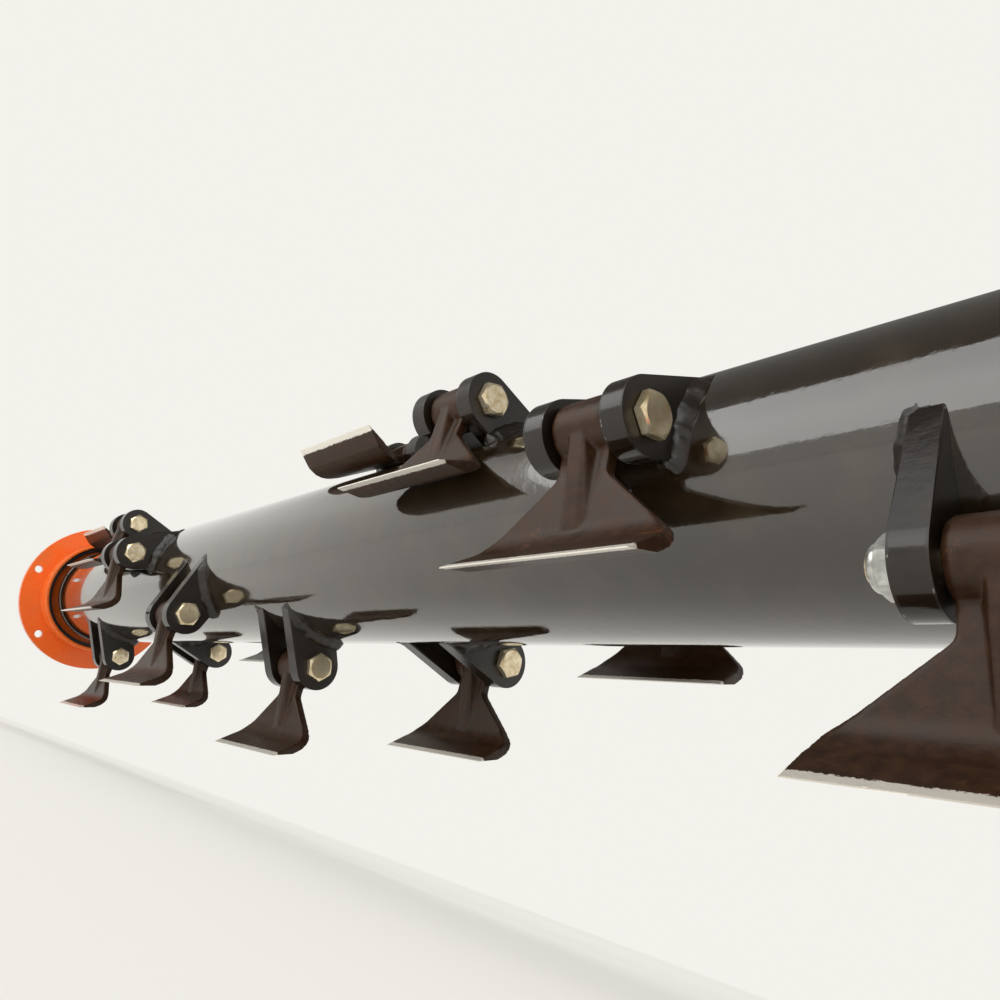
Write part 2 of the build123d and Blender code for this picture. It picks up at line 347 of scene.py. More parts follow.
@dataclass(frozen=True)
class WorkedMetal(Finish):
    """Metal that clouds over from one shade to another, with fine lines from how it was worked.

    shades and gloss each give the brightest part and the dullest, and shift the
    clouds' thresholds between them. The real lines are too fine to show, so they
    are drawn as coarse as they need to be.
    """

    shades: tuple[str, str]
    gloss: Point2
    cloud_mm: float
    cloud_detail: float
    cloud_roughness: float
    shift: Point2
    line_mm: float
    line_detail: float
    line_stretch: Point3
    relief_depth: float
    metallic: float = 1.0
    line_attribute: str = ""
    pits: float = 0.0

    def material(self) -> Material:
        """Make the metal's material.

        Returns:
            The material.
        """
        material, add, place = self.begin()
        follow = place
        if self.line_attribute:
            follow = add(ATTRIBUTE, attribute_name=self.line_attribute)["Vector"]
        relief = streaks(add, follow, self.line_stretch, self.line_mm, self.line_detail)
        drift = {"Detail": self.cloud_detail, "Roughness": self.cloud_roughness}
        cloud = add(NOISE, {"Vector": place, "Scale": every_mm(self.cloud_mm), **drift})["Fac"]
        low, high = self.shift
        share = add(RANGE, {"Value": cloud, "From Min": low, "From Max": high})[0]
        colour = tinted(add, share, *self.shades)
        bright, dull = self.gloss
        rough = {"Value": cloud, **CLOUD_SPAN, "To Min": bright, "To Max": dull}
        rough = add(RANGE, rough)[0]
        if self.pits:
            relief = add(MATH, {0: cloud, 1: self.pits, 2: relief}, operation="MULTIPLY_ADD")[0]
        shader = {"Base Color": colour, "Roughness": rough, "Metallic": self.metallic}
        self.complete(add, shader, relief, self.relief_depth)
        return material


@dataclass(frozen=True)
class GroundSteel(WorkedMetal):
    """Hard steel ground to an edge on a coarse wheel.

    It gives the eye a pale band with fine lines across it, duller pits and a
    faint tarnish. The band's near-white shades, with little metal, are a painted
    reflection: they stand in for bright ground mirrored in the steel.
    """

    # painted reflection: near-white shades and low metallic stand in for bright ground mirrored in
    # the band
    shades: tuple[str, str] = ("f6eee0", "d0c1a8")
    gloss: Point2 = (0.30, 0.50)
    cloud_mm: float = 5.0
    cloud_detail: float = 6.0
    cloud_roughness: float = 0.7
    shift: Point2 = (0.46, 0.74)
    line_mm: float = 0.9
    line_detail: float = 3.0
    line_stretch: Point3 = (1.0, 0.06, 0.06)
    relief_depth: float = 0.015
    metallic: float = 0.2
    line_attribute: str = "forged_at"
    pits: float = 0.8


class Passivation(Enum):
    """What the zinc was dipped in after plating, which gives its two tints."""

    YELLOW = ("f1e4c6", "cbb588")
    CLEAR = ("c6c6c1", "8f908c")


@dataclass(frozen=True)
class ZincPlate(WorkedMetal):
    """Electroplated zinc on a fastener.

    It gives the eye a bright, slightly cloudy metal with blotches where the
    passivation ran, and small scratches from the wrench.
    """

    gloss: Point2 = (0.15, 0.28)
    cloud_mm: float = 6.0
    cloud_detail: float = 5.0
    cloud_roughness: float = 0.6
    shift: Point2 = (0.38, 0.70)
    line_mm: float = 0.8
    line_detail: float = 2.0
    line_stretch: Point3 = (1.0, 1.0, 0.12)
    relief_depth: float = 0.006
    metallic: float = 0.8


@dataclass(frozen=True)
class TurnedSteel(WorkedMetal):
    """Shaft or bearing steel, turned and then ground.

    It gives the eye a bright metal with fine rings round its axis.
    """

    cloud_mm: float = 11.0
    cloud_detail: float = 5.0
    cloud_roughness: float = 0.5
    shift: Point2 = (0.42, 0.75)
    line_mm: float = 0.8
    line_detail: float = 3.0
    line_stretch: Point3 = (1.0, 0.03, 0.03)
    relief_depth: float = 0.012


@dataclass(frozen=True)
class CastPaint(Finish):
    """Grey iron cast in sand, with black paint.

    It gives the eye a pebbled skin under a soft shine.
    """

    colour: str = "24211f"
    worn_colour: str = "3d352d"
    sand_mm: float = 1.4
    wash_mm: float = 22.0
    relief_depth: float = 0.16

    def material(self) -> Material:
        """Make the painted casting's material.

        Returns:
            The material.
        """
        material, add, place = self.begin()
        pebbles = {"Scale": every_mm(self.sand_mm), "Detail": 3.0, "Roughness": 0.55}
        sand = add(NOISE, {"Vector": place, **pebbles})["Fac"]
        wash = add(NOISE, {"Vector": place, "Scale": every_mm(self.wash_mm), "Detail": 5.0})["Fac"]
        colour = tinted(add, wash, self.colour, self.worn_colour)
        rough = add(RANGE, {"Value": wash, **CLOUD_SPAN, "To Min": 0.36, "To Max": 0.56})[0]
        shader = {"Base Color": colour, "Roughness": rough, "IOR": 1.5}
        self.complete(add, shader, sand, self.relief_depth)
        return material


# Mesh work


def new_object(name: str, data: bpy.types.ID) -> Object:
    """Put a mesh, curve, lamp or camera into the scene as an object at the origin.

    Args:
        name: The object's name.
        data: What the object shows.

    Returns:
        The object.
    """
    piece = bpy.data.objects.new(name, data)
    bpy.context.scene.collection.objects.link(piece)
    return piece


def discard(piece: Object) -> None:
    """Take a helper object out of the file."""
    bpy.data.objects.remove(piece, do_unlink=True)


def evaluated(piece: Object, name: str) -> bpy.types.Mesh:
    """Take a piece's evaluated mesh, and remove its modifiers.

    Args:
        piece: The piece with its modifiers.
        name: The mesh's name.

    Returns:
        A plain mesh.
    """
    graph = bpy.context.evaluated_depsgraph_get()
    mesh = bpy.data.meshes.new_from_object(
        piece.evaluated_get(graph), preserve_all_data_layers=True, depsgraph=graph
    )
    piece.modifiers.clear()
    mesh.name = name
    return mesh


def creased(piece: Object, angle: float = SHARP) -> Object:
    """Shade a piece smoothly, apart from its sharp edges.

    Args:
        piece: The piece.
        angle: Edges sharper than this many degrees stay sharp.

    Returns:
        The same piece.
    """
    piece.data.shade_smooth()
    piece.data.set_sharp_from_angle(angle=math.radians(angle))
    return piece


def shaded(piece: Object, angle: float = SHARP) -> Object:
    """Shade a piece smoothly, with flat faces kept flat beside its rounded edges.

    Args:
        piece: The piece.
        angle: Edges sharper than this many degrees stay sharp.

    Returns:
        The same piece.
    """
    weighted = creased(piece, angle).modifiers.new("even_shading", "WEIGHTED_NORMAL")
    weighted.keep_sharp = True
    piece.data = evaluated(piece, piece.name)
    return piece


def carved(piece: Object, cutter: Object) -> Object:
    """Cut a shape out of a piece, after its other modifiers have worked.

    Args:
        piece: The piece.
        cutter: The shape, which is used up.

    Returns:
        The same piece, with a plain mesh.
    """
    cut = piece.modifiers.new("cut", "BOOLEAN")
    cut.object, cut.operation, cut.solver = cutter, "DIFFERENCE", "EXACT"
    piece.data = evaluated(piece, piece.name)
    discard(cutter)
    return piece


def span(form: BMesh, rows: Sequence[Sequence[BMVert]], closed: bool) -> None:
    """Span faces between each row of vertices and the next.

    Args:
        form: The bmesh that holds the vertices.
        rows: The rows, all of one length.
        closed: Whether each row's last vertex joins its first.
    """
    count = len(rows[0])
    for here, there in zip(rows, rows[1:]):
        for k in range(count if closed else count - 1):
            n = (k + 1) % count
            form.faces.new((here[k], here[n], there[n], there[k]))


def from_bmesh(name: str, form: BMesh) -> Object:
    """Close a bmesh's seams, turn its faces outwards and make it an object.

    Args:
        name: The object's name.
        form: The bmesh in millimetres, which is freed.

    Returns:
        The new object, in metres.
    """
    bmesh.ops.remove_doubles(form, verts=form.verts, dist=TINY)
    bmesh.ops.recalc_face_normals(form, faces=form.faces)
    bmesh.ops.scale(form, vec=(MM, MM, MM), verts=form.verts)
    mesh = bpy.data.meshes.new(name)
    form.to_mesh(mesh)
    form.free()
    return new_object(name, mesh)


def spun(name: str, columns: Sequence[Sequence[Point2]], closed: bool = True) -> Object:
    """Set profiles round the X axis and span them.

    Args:
        name: The object's name.
        columns: For each step round the axis, points along it and out from it.
        closed: Whether a profile's last point joins its first.

    Returns:
        The piece.
    """
    form = bmesh.new()
    rows = []
    for i, column in enumerate(columns):
        a = math.tau * i / len(columns)
        rows.append([form.verts.new((x, -r * math.cos(a), r * math.sin(a))) for x, r in column])
    span(form, [*rows, rows[0]], closed)
    bmesh.ops.remove_doubles(form, verts=form.verts, dist=TINY)
    bmesh.ops.dissolve_degenerate(form, dist=TINY, edges=form.edges)
    return from_bmesh(name, form)


def softened(profile: Sequence[Point2], radius: float, steps: int = 3) -> list[Point2]:
    """Round the corners of a closed profile, apart from those on the axis.

    Args:
        profile: Points along the axis and out from it.
        radius: The corners' radius.
        steps: How many flats stand for each corner.

    Returns:
        The profile with rounded corners.
    """
    points: list[Point2] = []
    most = 0.45  # share of a side that a corner may take
    for i, here in enumerate(profile):
        centre = Vector(here)
        before = Vector(profile[i - 1]) - centre
        after = Vector(profile[(i + 1) % len(profile)]) - centre
        reach = min(radius, before.length * most, after.length * most)
        if here[1] < 0.01 or reach < 0.02:
            points.append(here)
            continue
        start, end = centre + before.normalized() * reach, centre + after.normalized() * reach
        for k in range(steps + 1):
            t = k / steps
            point = start * (1 - t) ** 2 + centre * 2 * t * (1 - t) + end * t**2
            points.append((point.x, point.y))
    return points


def lathe(
    name: str, profile: Sequence[Point2], segments: int = 128, round_mm: float = 0.8
) -> Object:
    """Turn a closed profile of X and radius round the X axis, with its corners rounded."""
    return spun(name, [softened(profile, round_mm)] * segments)


def prism(name: str, outline: Sequence[Point2], low: float, high: float, bevel: float) -> Object:
    """Extrude an outline in the YZ plane along X, and bevel its two rims.

    Vertices on the rim between the faces get the attribute rim, and those on the
    bevels get corner.

    Args:
        name: The object's name.
        outline: Points in Y and Z.
        low: The lower X.
        high: The higher X.
        bevel: Width of the bevels.

    Returns:
        The extruded piece.
    """
    form = bmesh.new()
    near, far = ([form.verts.new((x, y, z)) for y, z in outline] for x in (low, high))
    form.faces.new(near)
    form.faces.new(far)
    span(form, (near, far), True)
    form.edges.ensure_lookup_table()
    rims = [e for e in form.edges if abs(e.verts[0].co.x - e.verts[1].co.x) < 0.001]
    bmesh.ops.bevel(form, geom=rims, offset=bevel, segments=3, profile=0.6, affect="EDGES")
    piece = from_bmesh(name, form)
    mesh = piece.data
    rim, corner = (mesh.attributes.new(label, "FLOAT", "POINT") for label in ("rim", "corner"))
    for vertex in mesh.vertices:
        inside = min(vertex.co.x / MM - low, high - vertex.co.x / MM)
        rim.data[vertex.index].value = 1.0 if inside > bevel * 0.9 else 0.0
        corner.data[vertex.index].value = 1.0 if 0.02 < inside < bevel * 0.98 else 0.0
    return piece


def hex_solid(
    name: str, across: float, height: float, way: int, bore: float = 0.0, both: bool = False
) -> Object:
    """Make a chamfered hexagon that stands on x = 0, with a raised ring under it.

    Args:
        name: The object's name.
        across: Its size across the flats.
        height: Its height.
        way: The direction along X in which it stands, 1 or -1.
        bore: Diameter of a hole through it, or 0.
        both: Whether its lower side is chamfered as well.

    Returns:
        The hexagon.
    """
    steps, ring, ring_share, chamfer, sixth = 72, 0.5, 0.89, math.radians(30), math.pi / 3
    flat, hole = across / 2, bore / 2
    face_r = flat * ring_share
    columns = []
    for i in range(steps):
        rim_r = flat / math.cos((math.tau * i / steps + sixth / 2) % sixth - sixth / 2)
        drop = (rim_r - face_r) * math.tan(chamfer)
        low = drop + ring if both else ring
        column = [(0.0, hole), (0.0, face_r), (ring, face_r), (low, rim_r)]
        column += [(height - drop, rim_r), (height, face_r), (height, hole)]
        columns.append([(way * x, r) for x, r in column])
    return spun(name, columns, closed=bore > 0)


def moved(piece: Object, x: float) -> Object:
    """Move a piece's mesh along X.

    Args:
        piece: The piece.
        x: How far, in millimetres.

    Returns:
        The same piece.
    """
    for vertex in piece.data.vertices:
        vertex.co.x += x * MM
    return piece


def joined(name: str, pieces: Sequence[Object]) -> Object:
    """Join several shapes into one object and remove them.

    Args:
        name: The new object's name.
        pieces: The shapes, each at the origin.

    Returns:
        The joined object.
    """
    form = bmesh.new()
    for piece in pieces:
        form.from_mesh(piece.data)
        discard(piece)
    mesh = bpy.data.meshes.new(name)
    form.to_mesh(mesh)
    form.free()
    return new_object(name, mesh)


# Geometry Nodes


def stations(places: Sequence[Sequence[float]], turns: Sequence[float]) -> Object:
    """Make the points at which a shape is repeated.

    Args:
        places: Each point's place in millimetres.
        turns: Each point's turn about the X axis in radians.

    Returns:
        A mesh of loose points with the attribute turn.
    """
    mesh = bpy.data.meshes.new("stations")
    mesh.from_pydata([tuple(c * MM for c in place) for place in places], [], [])
    mesh.attributes.new("turn", "FLOAT", "POINT").data.foreach_set("value", list(turns))
    return new_object("stations", mesh)


@dataclass
class StationTree:
    """A Geometry Nodes tree that sets a shape on every station and finishes it.

    sockets gives the name and type of each input after the stations, the shape's
    first. The last one is always the finish.
    """

    name: str
    sockets: dict[str, str]
    tree: GeometryNodeTree = field(init=False)
    add: Add = field(init=False)
    given: Outputs = field(init=False)

    def __post_init__(self) -> None:
        """Start the tree with its named inputs."""
        self.tree = bpy.data.node_groups.new(self.name, "GeometryNodeTree")
        self.add = partial(add_node, self.tree)
        inputs = {"Stations": "Geometry", **self.sockets, "Finish": "Material"}
        for label, kind in inputs.items():
            self.tree.interface.new_socket(
                name=label, in_out="INPUT", socket_type=f"NodeSocket{kind}"
            )
        self.tree.interface.new_socket(
            name="Geometry", in_out="OUTPUT", socket_type="NodeSocketGeometry"
        )
        self.given = self.add("NodeGroupInput")

    def copies(self, label: str, spread: NodeSocket | None = None) -> NodeSocket:
        """Set the shape on every station, turned as the station says.

        Args:
            label: Name of the input that holds the shape.
            spread: A turn that is added to each copy's own, or none.

        Returns:
            The copies, as instances.
        """
        shape = self.add("GeometryNodeObjectInfo", {"Object": self.given[label]})
        turn = self.add("GeometryNodeInputNamedAttribute", {"Name": "turn"}, data_type="FLOAT")
        angle = turn["Attribute"]
        if spread is not None:
            angle = self.add(MATH, {0: angle, 1: spread})[0]
        way = self.add("FunctionNodeAxisAngleToRotation", {"Axis": (1, 0, 0), "Angle": angle})
        set_out = {"Points": self.given["Stations"], "Instance": shape["Geometry"]}
        return self.add("GeometryNodeInstanceOnPoints", {**set_out, "Rotation": way[0]})[0]

    def swell(self, scale: NodeSocket | float, detail: float) -> NodeSocket:
        """Make noise about zero that depends on the input Seed.

        Args:
            scale: The noise's scale.
            detail: The noise's detail.

        Returns:
            The noise, from -0.5 to 0.5.
        """
        drift = {"W": self.given["Seed"], "Scale": scale, "Detail": detail}
        swell = self.add(NOISE, drift, noise_dimensions="4D")["Fac"]
        return self.add(MATH, {0: swell, 1: 0.5}, operation="SUBTRACT")[0]

    def roughened(self, shape: NodeSocket, swell: NodeSocket, label: str) -> NodeSocket:
        """Push a surface in and out, and shade it smoothly.

        Args:
            shape: The surface.
            swell: Noise about zero.
            label: Name of the input that holds how far the noise pushes.

        Returns:
            The rough surface.
        """
        push = self.add(MATH, {0: swell, 1: self.given[label]}, operation="MULTIPLY")[0]
        outwards = self.add("GeometryNodeInputNormal")[0]
        shift = self.add(VECTOR_MATH, {0: outwards, "Scale": push}, operation="SCALE")[0]
        rough = self.add("GeometryNodeSetPosition", {"Geometry": shape, "Offset": shift})[0]
        return self.add("GeometryNodeSetShadeSmooth", {"Geometry": rough})[0]

    def finished(self, shape: NodeSocket) -> "StationTree":
        """End the tree with real geometry in its finish.

        Args:
            shape: What the tree has made.

        Returns:
            This tree.
        """
        solid = self.add("GeometryNodeRealizeInstances", {"Geometry": shape})[0]
        coat = {"Geometry": solid, "Material": self.given["Finish"]}
        dressed = self.add("GeometryNodeSetMaterial", coat)[0]
        self.add("NodeGroupOutput", {"Geometry": dressed})
        return self

    def run(self, points: Object, values: dict[str, object], name: str) -> Object:
        """Run the tree on its stations and keep the result as a plain mesh.

        Args:
            points: The stations, which are used up.
            values: A value for each named input.
            name: The piece's name.

        Returns:
            The finished piece.
        """
        modifier = points.modifiers.new("repeat", "NODES")
        modifier.node_group = self.tree
        for item in self.tree.interface.items_tree:
            if item.in_out == "INPUT" and item.name in values:
                modifier[item.identifier] = values[item.name]
        mesh = evaluated(points, name)
        discard(points)
        return new_object(name, mesh)


def repeat_tree() -> StationTree:
    """Build the tree that sets one shape on every station, turned by chance within Spread.

    Returns:
        The tree.
    """
    sockets = {"Shape": "Object", "Spread": "Float", "Seed": "Int"}
    group = StationTree("shape_at_stations", sockets)
    chance = {3: group.given["Spread"], 8: group.given["Seed"]}
    stray = group.add("FunctionNodeRandomValue", chance)[1]
    return group.finished(group.copies("Shape", stray))


def seam_tree() -> StationTree:
    """Build the tree that lays a rippled weld bead along a path.

    Returns:
        The tree.
    """
    sockets = {"Path": "Object", "Bead radius": "Float", "Ripple": "Float", "Lump size": "Float"}
    sockets |= {"Lumps": "Float", "End taper": "Float", "Skin": "Float", "Seed": "Float"}
    group = StationTree("weld_beads", sockets)
    add, given = group.add, group.given
    paths = add("GeometryNodeRealizeInstances", {"Geometry": group.copies("Path")})[0]
    step = {"Curve": paths, "Length": 1.1 * MM}
    fine = add("GeometryNodeResampleCurve", step, mode="LENGTH")[0]
    here = add("GeometryNodeSplineParameter")["Length"]
    whole = add("GeometryNodeSplineLength")["Length"]
    rest = add(MATH, {0: whole, 1: here}, operation="SUBTRACT")[0]
    nearest = add(MATH, {0: here, 1: rest}, operation="MINIMUM")[0]
    taper = {"Value": nearest, "From Max": given["End taper"], "To Min": 0.35}
    ends = add(RANGE, taper, interpolation_type="SMOOTHSTEP")[0]
    beat = add(MATH, {0: here, 1: given["Ripple"]}, operation="DIVIDE")[0]
    saw = add(MATH, {0: beat}, operation="FRACT")[0]
    crest = add(MATH, {0: saw, 1: -0.05, 2: 1.02}, operation="MULTIPLY_ADD")[0]
    finer = add(MATH, {0: 1.0, 1: given["Lump size"]}, operation="DIVIDE")[0]
    lumps = {0: group.swell(finer, 2.0), 1: given["Lumps"], 2: crest}
    swell = add(MATH, lumps, operation="MULTIPLY_ADD")[0]
    size = add(MATH, {0: ends, 1: swell}, operation="MULTIPLY")[0]
    ring = {"Resolution": 12, "Radius": given["Bead radius"]}
    ring = add("GeometryNodeCurvePrimitiveCircle", ring)[0]
    sweep = {"Curve": fine, "Profile Curve": ring, "Scale": size, "Fill Caps": True}
    tube = add("GeometryNodeCurveToMesh", sweep)[0]
    return group.finished(group.roughened(tube, group.swell(every_mm(3.0), 2.0), "Skin"))


def fillet_tree() -> StationTree:
    """Build the tree that sets a weld on every station and roughens each in its own way.

    Returns:
        The tree.
    """
    sockets = {"Shape": "Object", "Lump size": "Float", "Lumps": "Float", "Seed": "Float"}
    group = StationTree("fillet_welds", sockets)
    finer = group.add(MATH, {0: 1.0, 1: group.given["Lump size"]}, operation="DIVIDE")[0]
    welds = group.add("GeometryNodeRealizeInstances", {"Geometry": group.copies("Shape")})[0]
    return group.finished(group.roughened(welds, group.swell(finer, 0.6), "Lumps"))


def ring_path(points: Sequence[Sequence[float]]) -> Object:
    """Make a plain closed curve for a weld to follow.

    Args:
        points: Its points in millimetres.

    Returns:
        The curve object.
    """
    curve = bpy.data.curves.new("seam_path", "CURVE")
    curve.dimensions = "3D"
    spline = curve.splines.new("POLY")
    spline.points.add(len(points) - 1)
    for target, point in zip(spline.points, points):
        target.co = (*(c * MM for c in point), 1.0)
    spline.use_cyclic_u = True
    return new_object("seam_path", curve)


# Frame


def outward(angle: float, radius: float) -> Point2:
    """Y and Z of a point at an angle in degrees round the rotor."""
    a = math.radians(angle)
    return (-radius * math.cos(a), radius * math.sin(a))


def wall(start: float, end: float, inner: float, outer: float) -> list[Point2]:
    """Profile of a plain tube, from start to end along its axis."""
    return [(start, inner), (start, outer), (end, outer), (end, inner)]


def deliver(
    piece: Object, body: str, nodes: Sequence[str], finishes: Sequence[Material]
) -> None:
    """Dress a finished piece, hang it on its body and report it.

    Args:
        piece: The piece, with its place in its mesh.
        body: The CAD body that it moves with.
        nodes: The CAD nodes that it stands for.
        finishes: Its materials, in the order of its slots, or none to keep its own.
    """
    if finishes:
        piece.data.materials.clear()
        for finish in finishes:
            piece.data.materials.append(finish)
    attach(piece, body)
    if nodes:
        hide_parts(*nodes)
    log.info("%s rides on %s: %d polygons", piece.name, body, len(piece.data.polygons))


@dataclass(frozen=True)
class Pin:
    """One hammer's pin line at rest."""

    hammer: str
    x: float
    y: float
    z: float
    low: float

    @property
    def angle(self) -> float:
        """Angle of the pin round the rotor in degrees."""
        return math.degrees(math.atan2(self.z, -self.y))

    @property
    def turn(self) -> float:
        """Turn about the X axis in radians that takes the front to the pin."""
        return -math.radians(self.angle)


def read_pins(joints: Sequence[dict]) -> list[Pin]:
    """Read the hammers' pins from the frame's joints.

    Args:
        joints: The record's joints.

    Returns:
        One pin for each hammer.
    """
    pins = []
    for joint in joints:
        if joint["child"].startswith("hammer"):
            place = (c / MM for c in joint["pos_m"])
            pins.append(Pin(joint["child"], *place, joint["range_deg"][0]))
    return pins


# Sub-assemblies


@dataclass
class Drum:
    """The tube with its end discs, and the weld round each joint."""

    enamel: Material
    welds: StationTree
    wall: float = 8.0
    chamfer: float = 3.0
    seam_bead: float = 2.6
    seam_proud: float = 0.9
    segments: int = 256

    def dress(self) -> None:
        """Make the tube, both discs and both seams."""
        low, high = (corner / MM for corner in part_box("drum_tube"))
        radius, inner = high.z, high.z - self.wall
        profile = [(low.x, radius), (high.x, radius), (high.x, inner), (low.x, inner)]
        tube = lathe("drum_shell", profile, self.segments, 0.4)
        deliver(shaded(tube), "rotor", ["drum_tube"], [self.enamel])
        for end, out in (("left", -1), ("right", 1)):
            near, far = (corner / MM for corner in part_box(f"{end}_end_disc"))
            face, seat = (near.x, far.x) if out < 0 else (far.x, near.x)
            profile = [(face, 0.0), (face, radius - self.chamfer)]
            profile += [(face - out * self.chamfer, radius), (seat, radius), (seat, 0.0)]
            disc = lathe(f"{end}_drum_end", profile, self.segments, 0.5)
            deliver(shaded(disc), "rotor", [f"{end}_end_disc"], [self.enamel])
            self.seam(end, seat, radius)

    def seam(self, end: str, x: float, radius: float) -> None:
        """Lay the weld round the joint of tube and disc.

        Args:
            end: Which end, left or right.
            x: Place of the joint.
            radius: The drum's radius.
        """
        sunk, count = radius - self.seam_bead + self.seam_proud, 180
        path = ring_path([(x, *outward(360 * i / count, sunk)) for i in range(count)])
        sizes = {"Bead radius": self.seam_bead, "Ripple": 2.2, "Lump size": 16, "Skin": 1.2}
        values = {label: size * MM for label, size in sizes.items()}
        values |= {"Path": path, "Lumps": 0.25, "End taper": 0.01 * MM, "Finish": self.enamel}
        values["Seed"] = 3.0 if end == "left" else 8.0
        bead = self.welds.run(stations([(0, 0, 0)], [0.0]), values, f"{end}_drum_seam")
        discard(path)
        deliver(bead, "rotor", [], [])


@dataclass
class LugPacks:
    """Sixteen pairs of flame-cut lug plates and the welds round their feet."""

    enamel: Material
    repeat: StationTree
    fillets: StationTree
    pin_r: float = 112.0
    end_r: float = 22.5
    seat_r: float = 84.3
    foot_back: float = 8.0
    foot_front: float = 38.0
    gap: float = 41.0
    thickness: float = 15.0
    bevel: float = 1.4
    bead: float = 7.0
    bead_sunk: float = 1.2
    bead_hollow: float = 1.7
    bead_pulse: float = 0.14
    back_toe: float = 1.1
    front_toe: float = 0.45
    wrap: float = 1.1
    wrap_steps: int = 8
    turn_steps: int = 6
    foot_steps: int = 64
    blend_from: float = 0.75
    lump: float = 7.0
    lumps: float = 2.8

    def tangent(self, foot: Point2, side: int) -> float:
        """Angle round the lug's end at which the line from its foot meets it.

        Args:
            foot: The foot's corner in Y and Z.
            side: 1 for the front foot and -1 for the back one.

        Returns:
            The angle in radians, from +Y towards +Z.
        """
        way = Vector(foot) - Vector((-self.pin_r, 0.0))
        return math.atan2(way.y, way.x) + side * math.acos(self.end_r / way.length)

    def round_end(self, a: float) -> Point2:
        """Y and Z of the point of the lug's end at an angle in radians."""
        return (-self.pin_r + self.end_r * math.cos(a), self.end_r * math.sin(a))

    def outline(self) -> list[Point2]:
        """Outline of a plate: its foot on the drum, two straight sides and a round end.

        Returns:
            Points in Y and Z, for a pin straight in front of the axis.
        """
        span_deg, flats, arcs = self.foot_front + self.foot_back, 16, 44
        foot = [
            outward(-self.foot_back + span_deg * i / flats, self.seat_r) for i in range(flats + 1)
        ]
        first, last = self.tangent(foot[-1], 1), self.tangent(foot[0], -1) + math.tau
        end = [self.round_end(first + (last - first) * i / arcs) for i in range(arcs + 1)]
        return [*foot, *end]

    def toe_run(self, side: int, way: int) -> tuple[list[BeadStep], Vector]:
        """Lay out the weld from behind a toe of a plate to its outer side.

        Args:
            side: 1 for the plate towards the drive end, -1 for the other.
            way: 1 for the front toe and -1 for the back one.

        Returns:
            The steps, and the way up the plate's rim at this toe.
        """
        toe, full = -self.foot_back, self.back_toe
        if way > 0:
            toe, full = self.foot_front, self.front_toe
        y, z = outward(toe, self.seat_r)
        corner = Vector((side * (self.gap / 2 + self.thickness), y, z))
        top = Vector(self.round_end(self.tangent((y, z), way)))
        rim = Vector((0.0, top.x - y, top.y - z)).normalized()
        a = math.radians(toe)
        off = Vector((0.0, way * math.sin(a), way * math.cos(a)))
        lift, sideways = Vector((0.0, *outward(toe, 1.0))), Vector((side, 0, 0))
        steps: list[BeadStep] = []
        for i in range(self.wrap_steps + 1):
            size = full * math.sqrt(max(i, 0.15) / self.wrap_steps)
            behind = Vector((side * (self.wrap_steps - i) * self.wrap, 0, 0))
            steps.append((corner - behind, off, rim, size))
        for i in range(1, self.turn_steps + 1):
            t = i / self.turn_steps
            out = (off * (1 - t) + sideways * t).normalized()
            if way > 0:
                steps.append((corner, out, rim, full))
            else:
                up = (rim * (1 - t) + lift * t).normalized()
                steps.append((corner, out, up, full + (1.0 - full) * t))
        return steps, rim

    def bead_run(self, side: int) -> list[BeadStep]:
        """Lay out the weld along a plate's outer foot and round its two toes.

        Towards the front toe the bead grows thin and leans with the plate's rim.

        Args:
            side: 1 for the plate towards the drive end, -1 for the other.

        Returns:
            For each step the corner that it fills, the two ways that its legs
            run, along the drum and up the plate, and its size from 0 to 1.
        """
        run, _ = self.toe_run(side, -1)
        end, rim = self.toe_run(side, 1)
        outer = side * (self.gap / 2 + self.thickness)
        for i in range(1, self.foot_steps):
            t = i / self.foot_steps
            a = -self.foot_back + (self.foot_front + self.foot_back) * t
            near = max(0.0, t - self.blend_from) / (1.0 - self.blend_from)
            up = (Vector((0.0, *outward(a, 1.0))) * (1 - near) + rim * near).normalized()
            corner = Vector((outer, *outward(a, self.seat_r)))
            run.append((corner, Vector((side, 0, 0)), up, 1.0 - (1.0 - self.front_toe) * near))
        return [*run, *reversed(end)]

    def bead_shape(self, side: int) -> Object:
        """Make the weld as a hollow fillet that swells and shrinks as the torch moved.

        Args:
            side: 1 for the plate towards the drive end, -1 for the other.

        Returns:
            The bead, for a pin straight in front of the axis.
        """
        form = bmesh.new()
        rows, flats, sunk, power = [], 8, self.bead_sunk, self.bead_hollow
        for step, (corner, off, up, size) in enumerate(self.bead_run(side)):
            pulse = noise.noise(Vector((step * 0.11, side * 3.0, 0.0)))
            leg = self.bead * size * (1.0 + self.bead_pulse * pulse)
            row = [corner + off * leg - up * sunk]
            for k in range(flats + 1):
                t = math.pi / 2 * k / flats
                row.append(
                    corner + off * leg * math.cos(t) ** power + up * leg * math.sin(t) ** power
                )
            row += [corner - off * sunk + up * leg, corner - off * sunk - up * sunk]
            rows.append([form.verts.new(point) for point in row])
        span(form, rows, True)
        form.faces.new(rows[0])
        form.faces.new(rows[-1])
        return from_bmesh("bead", form)

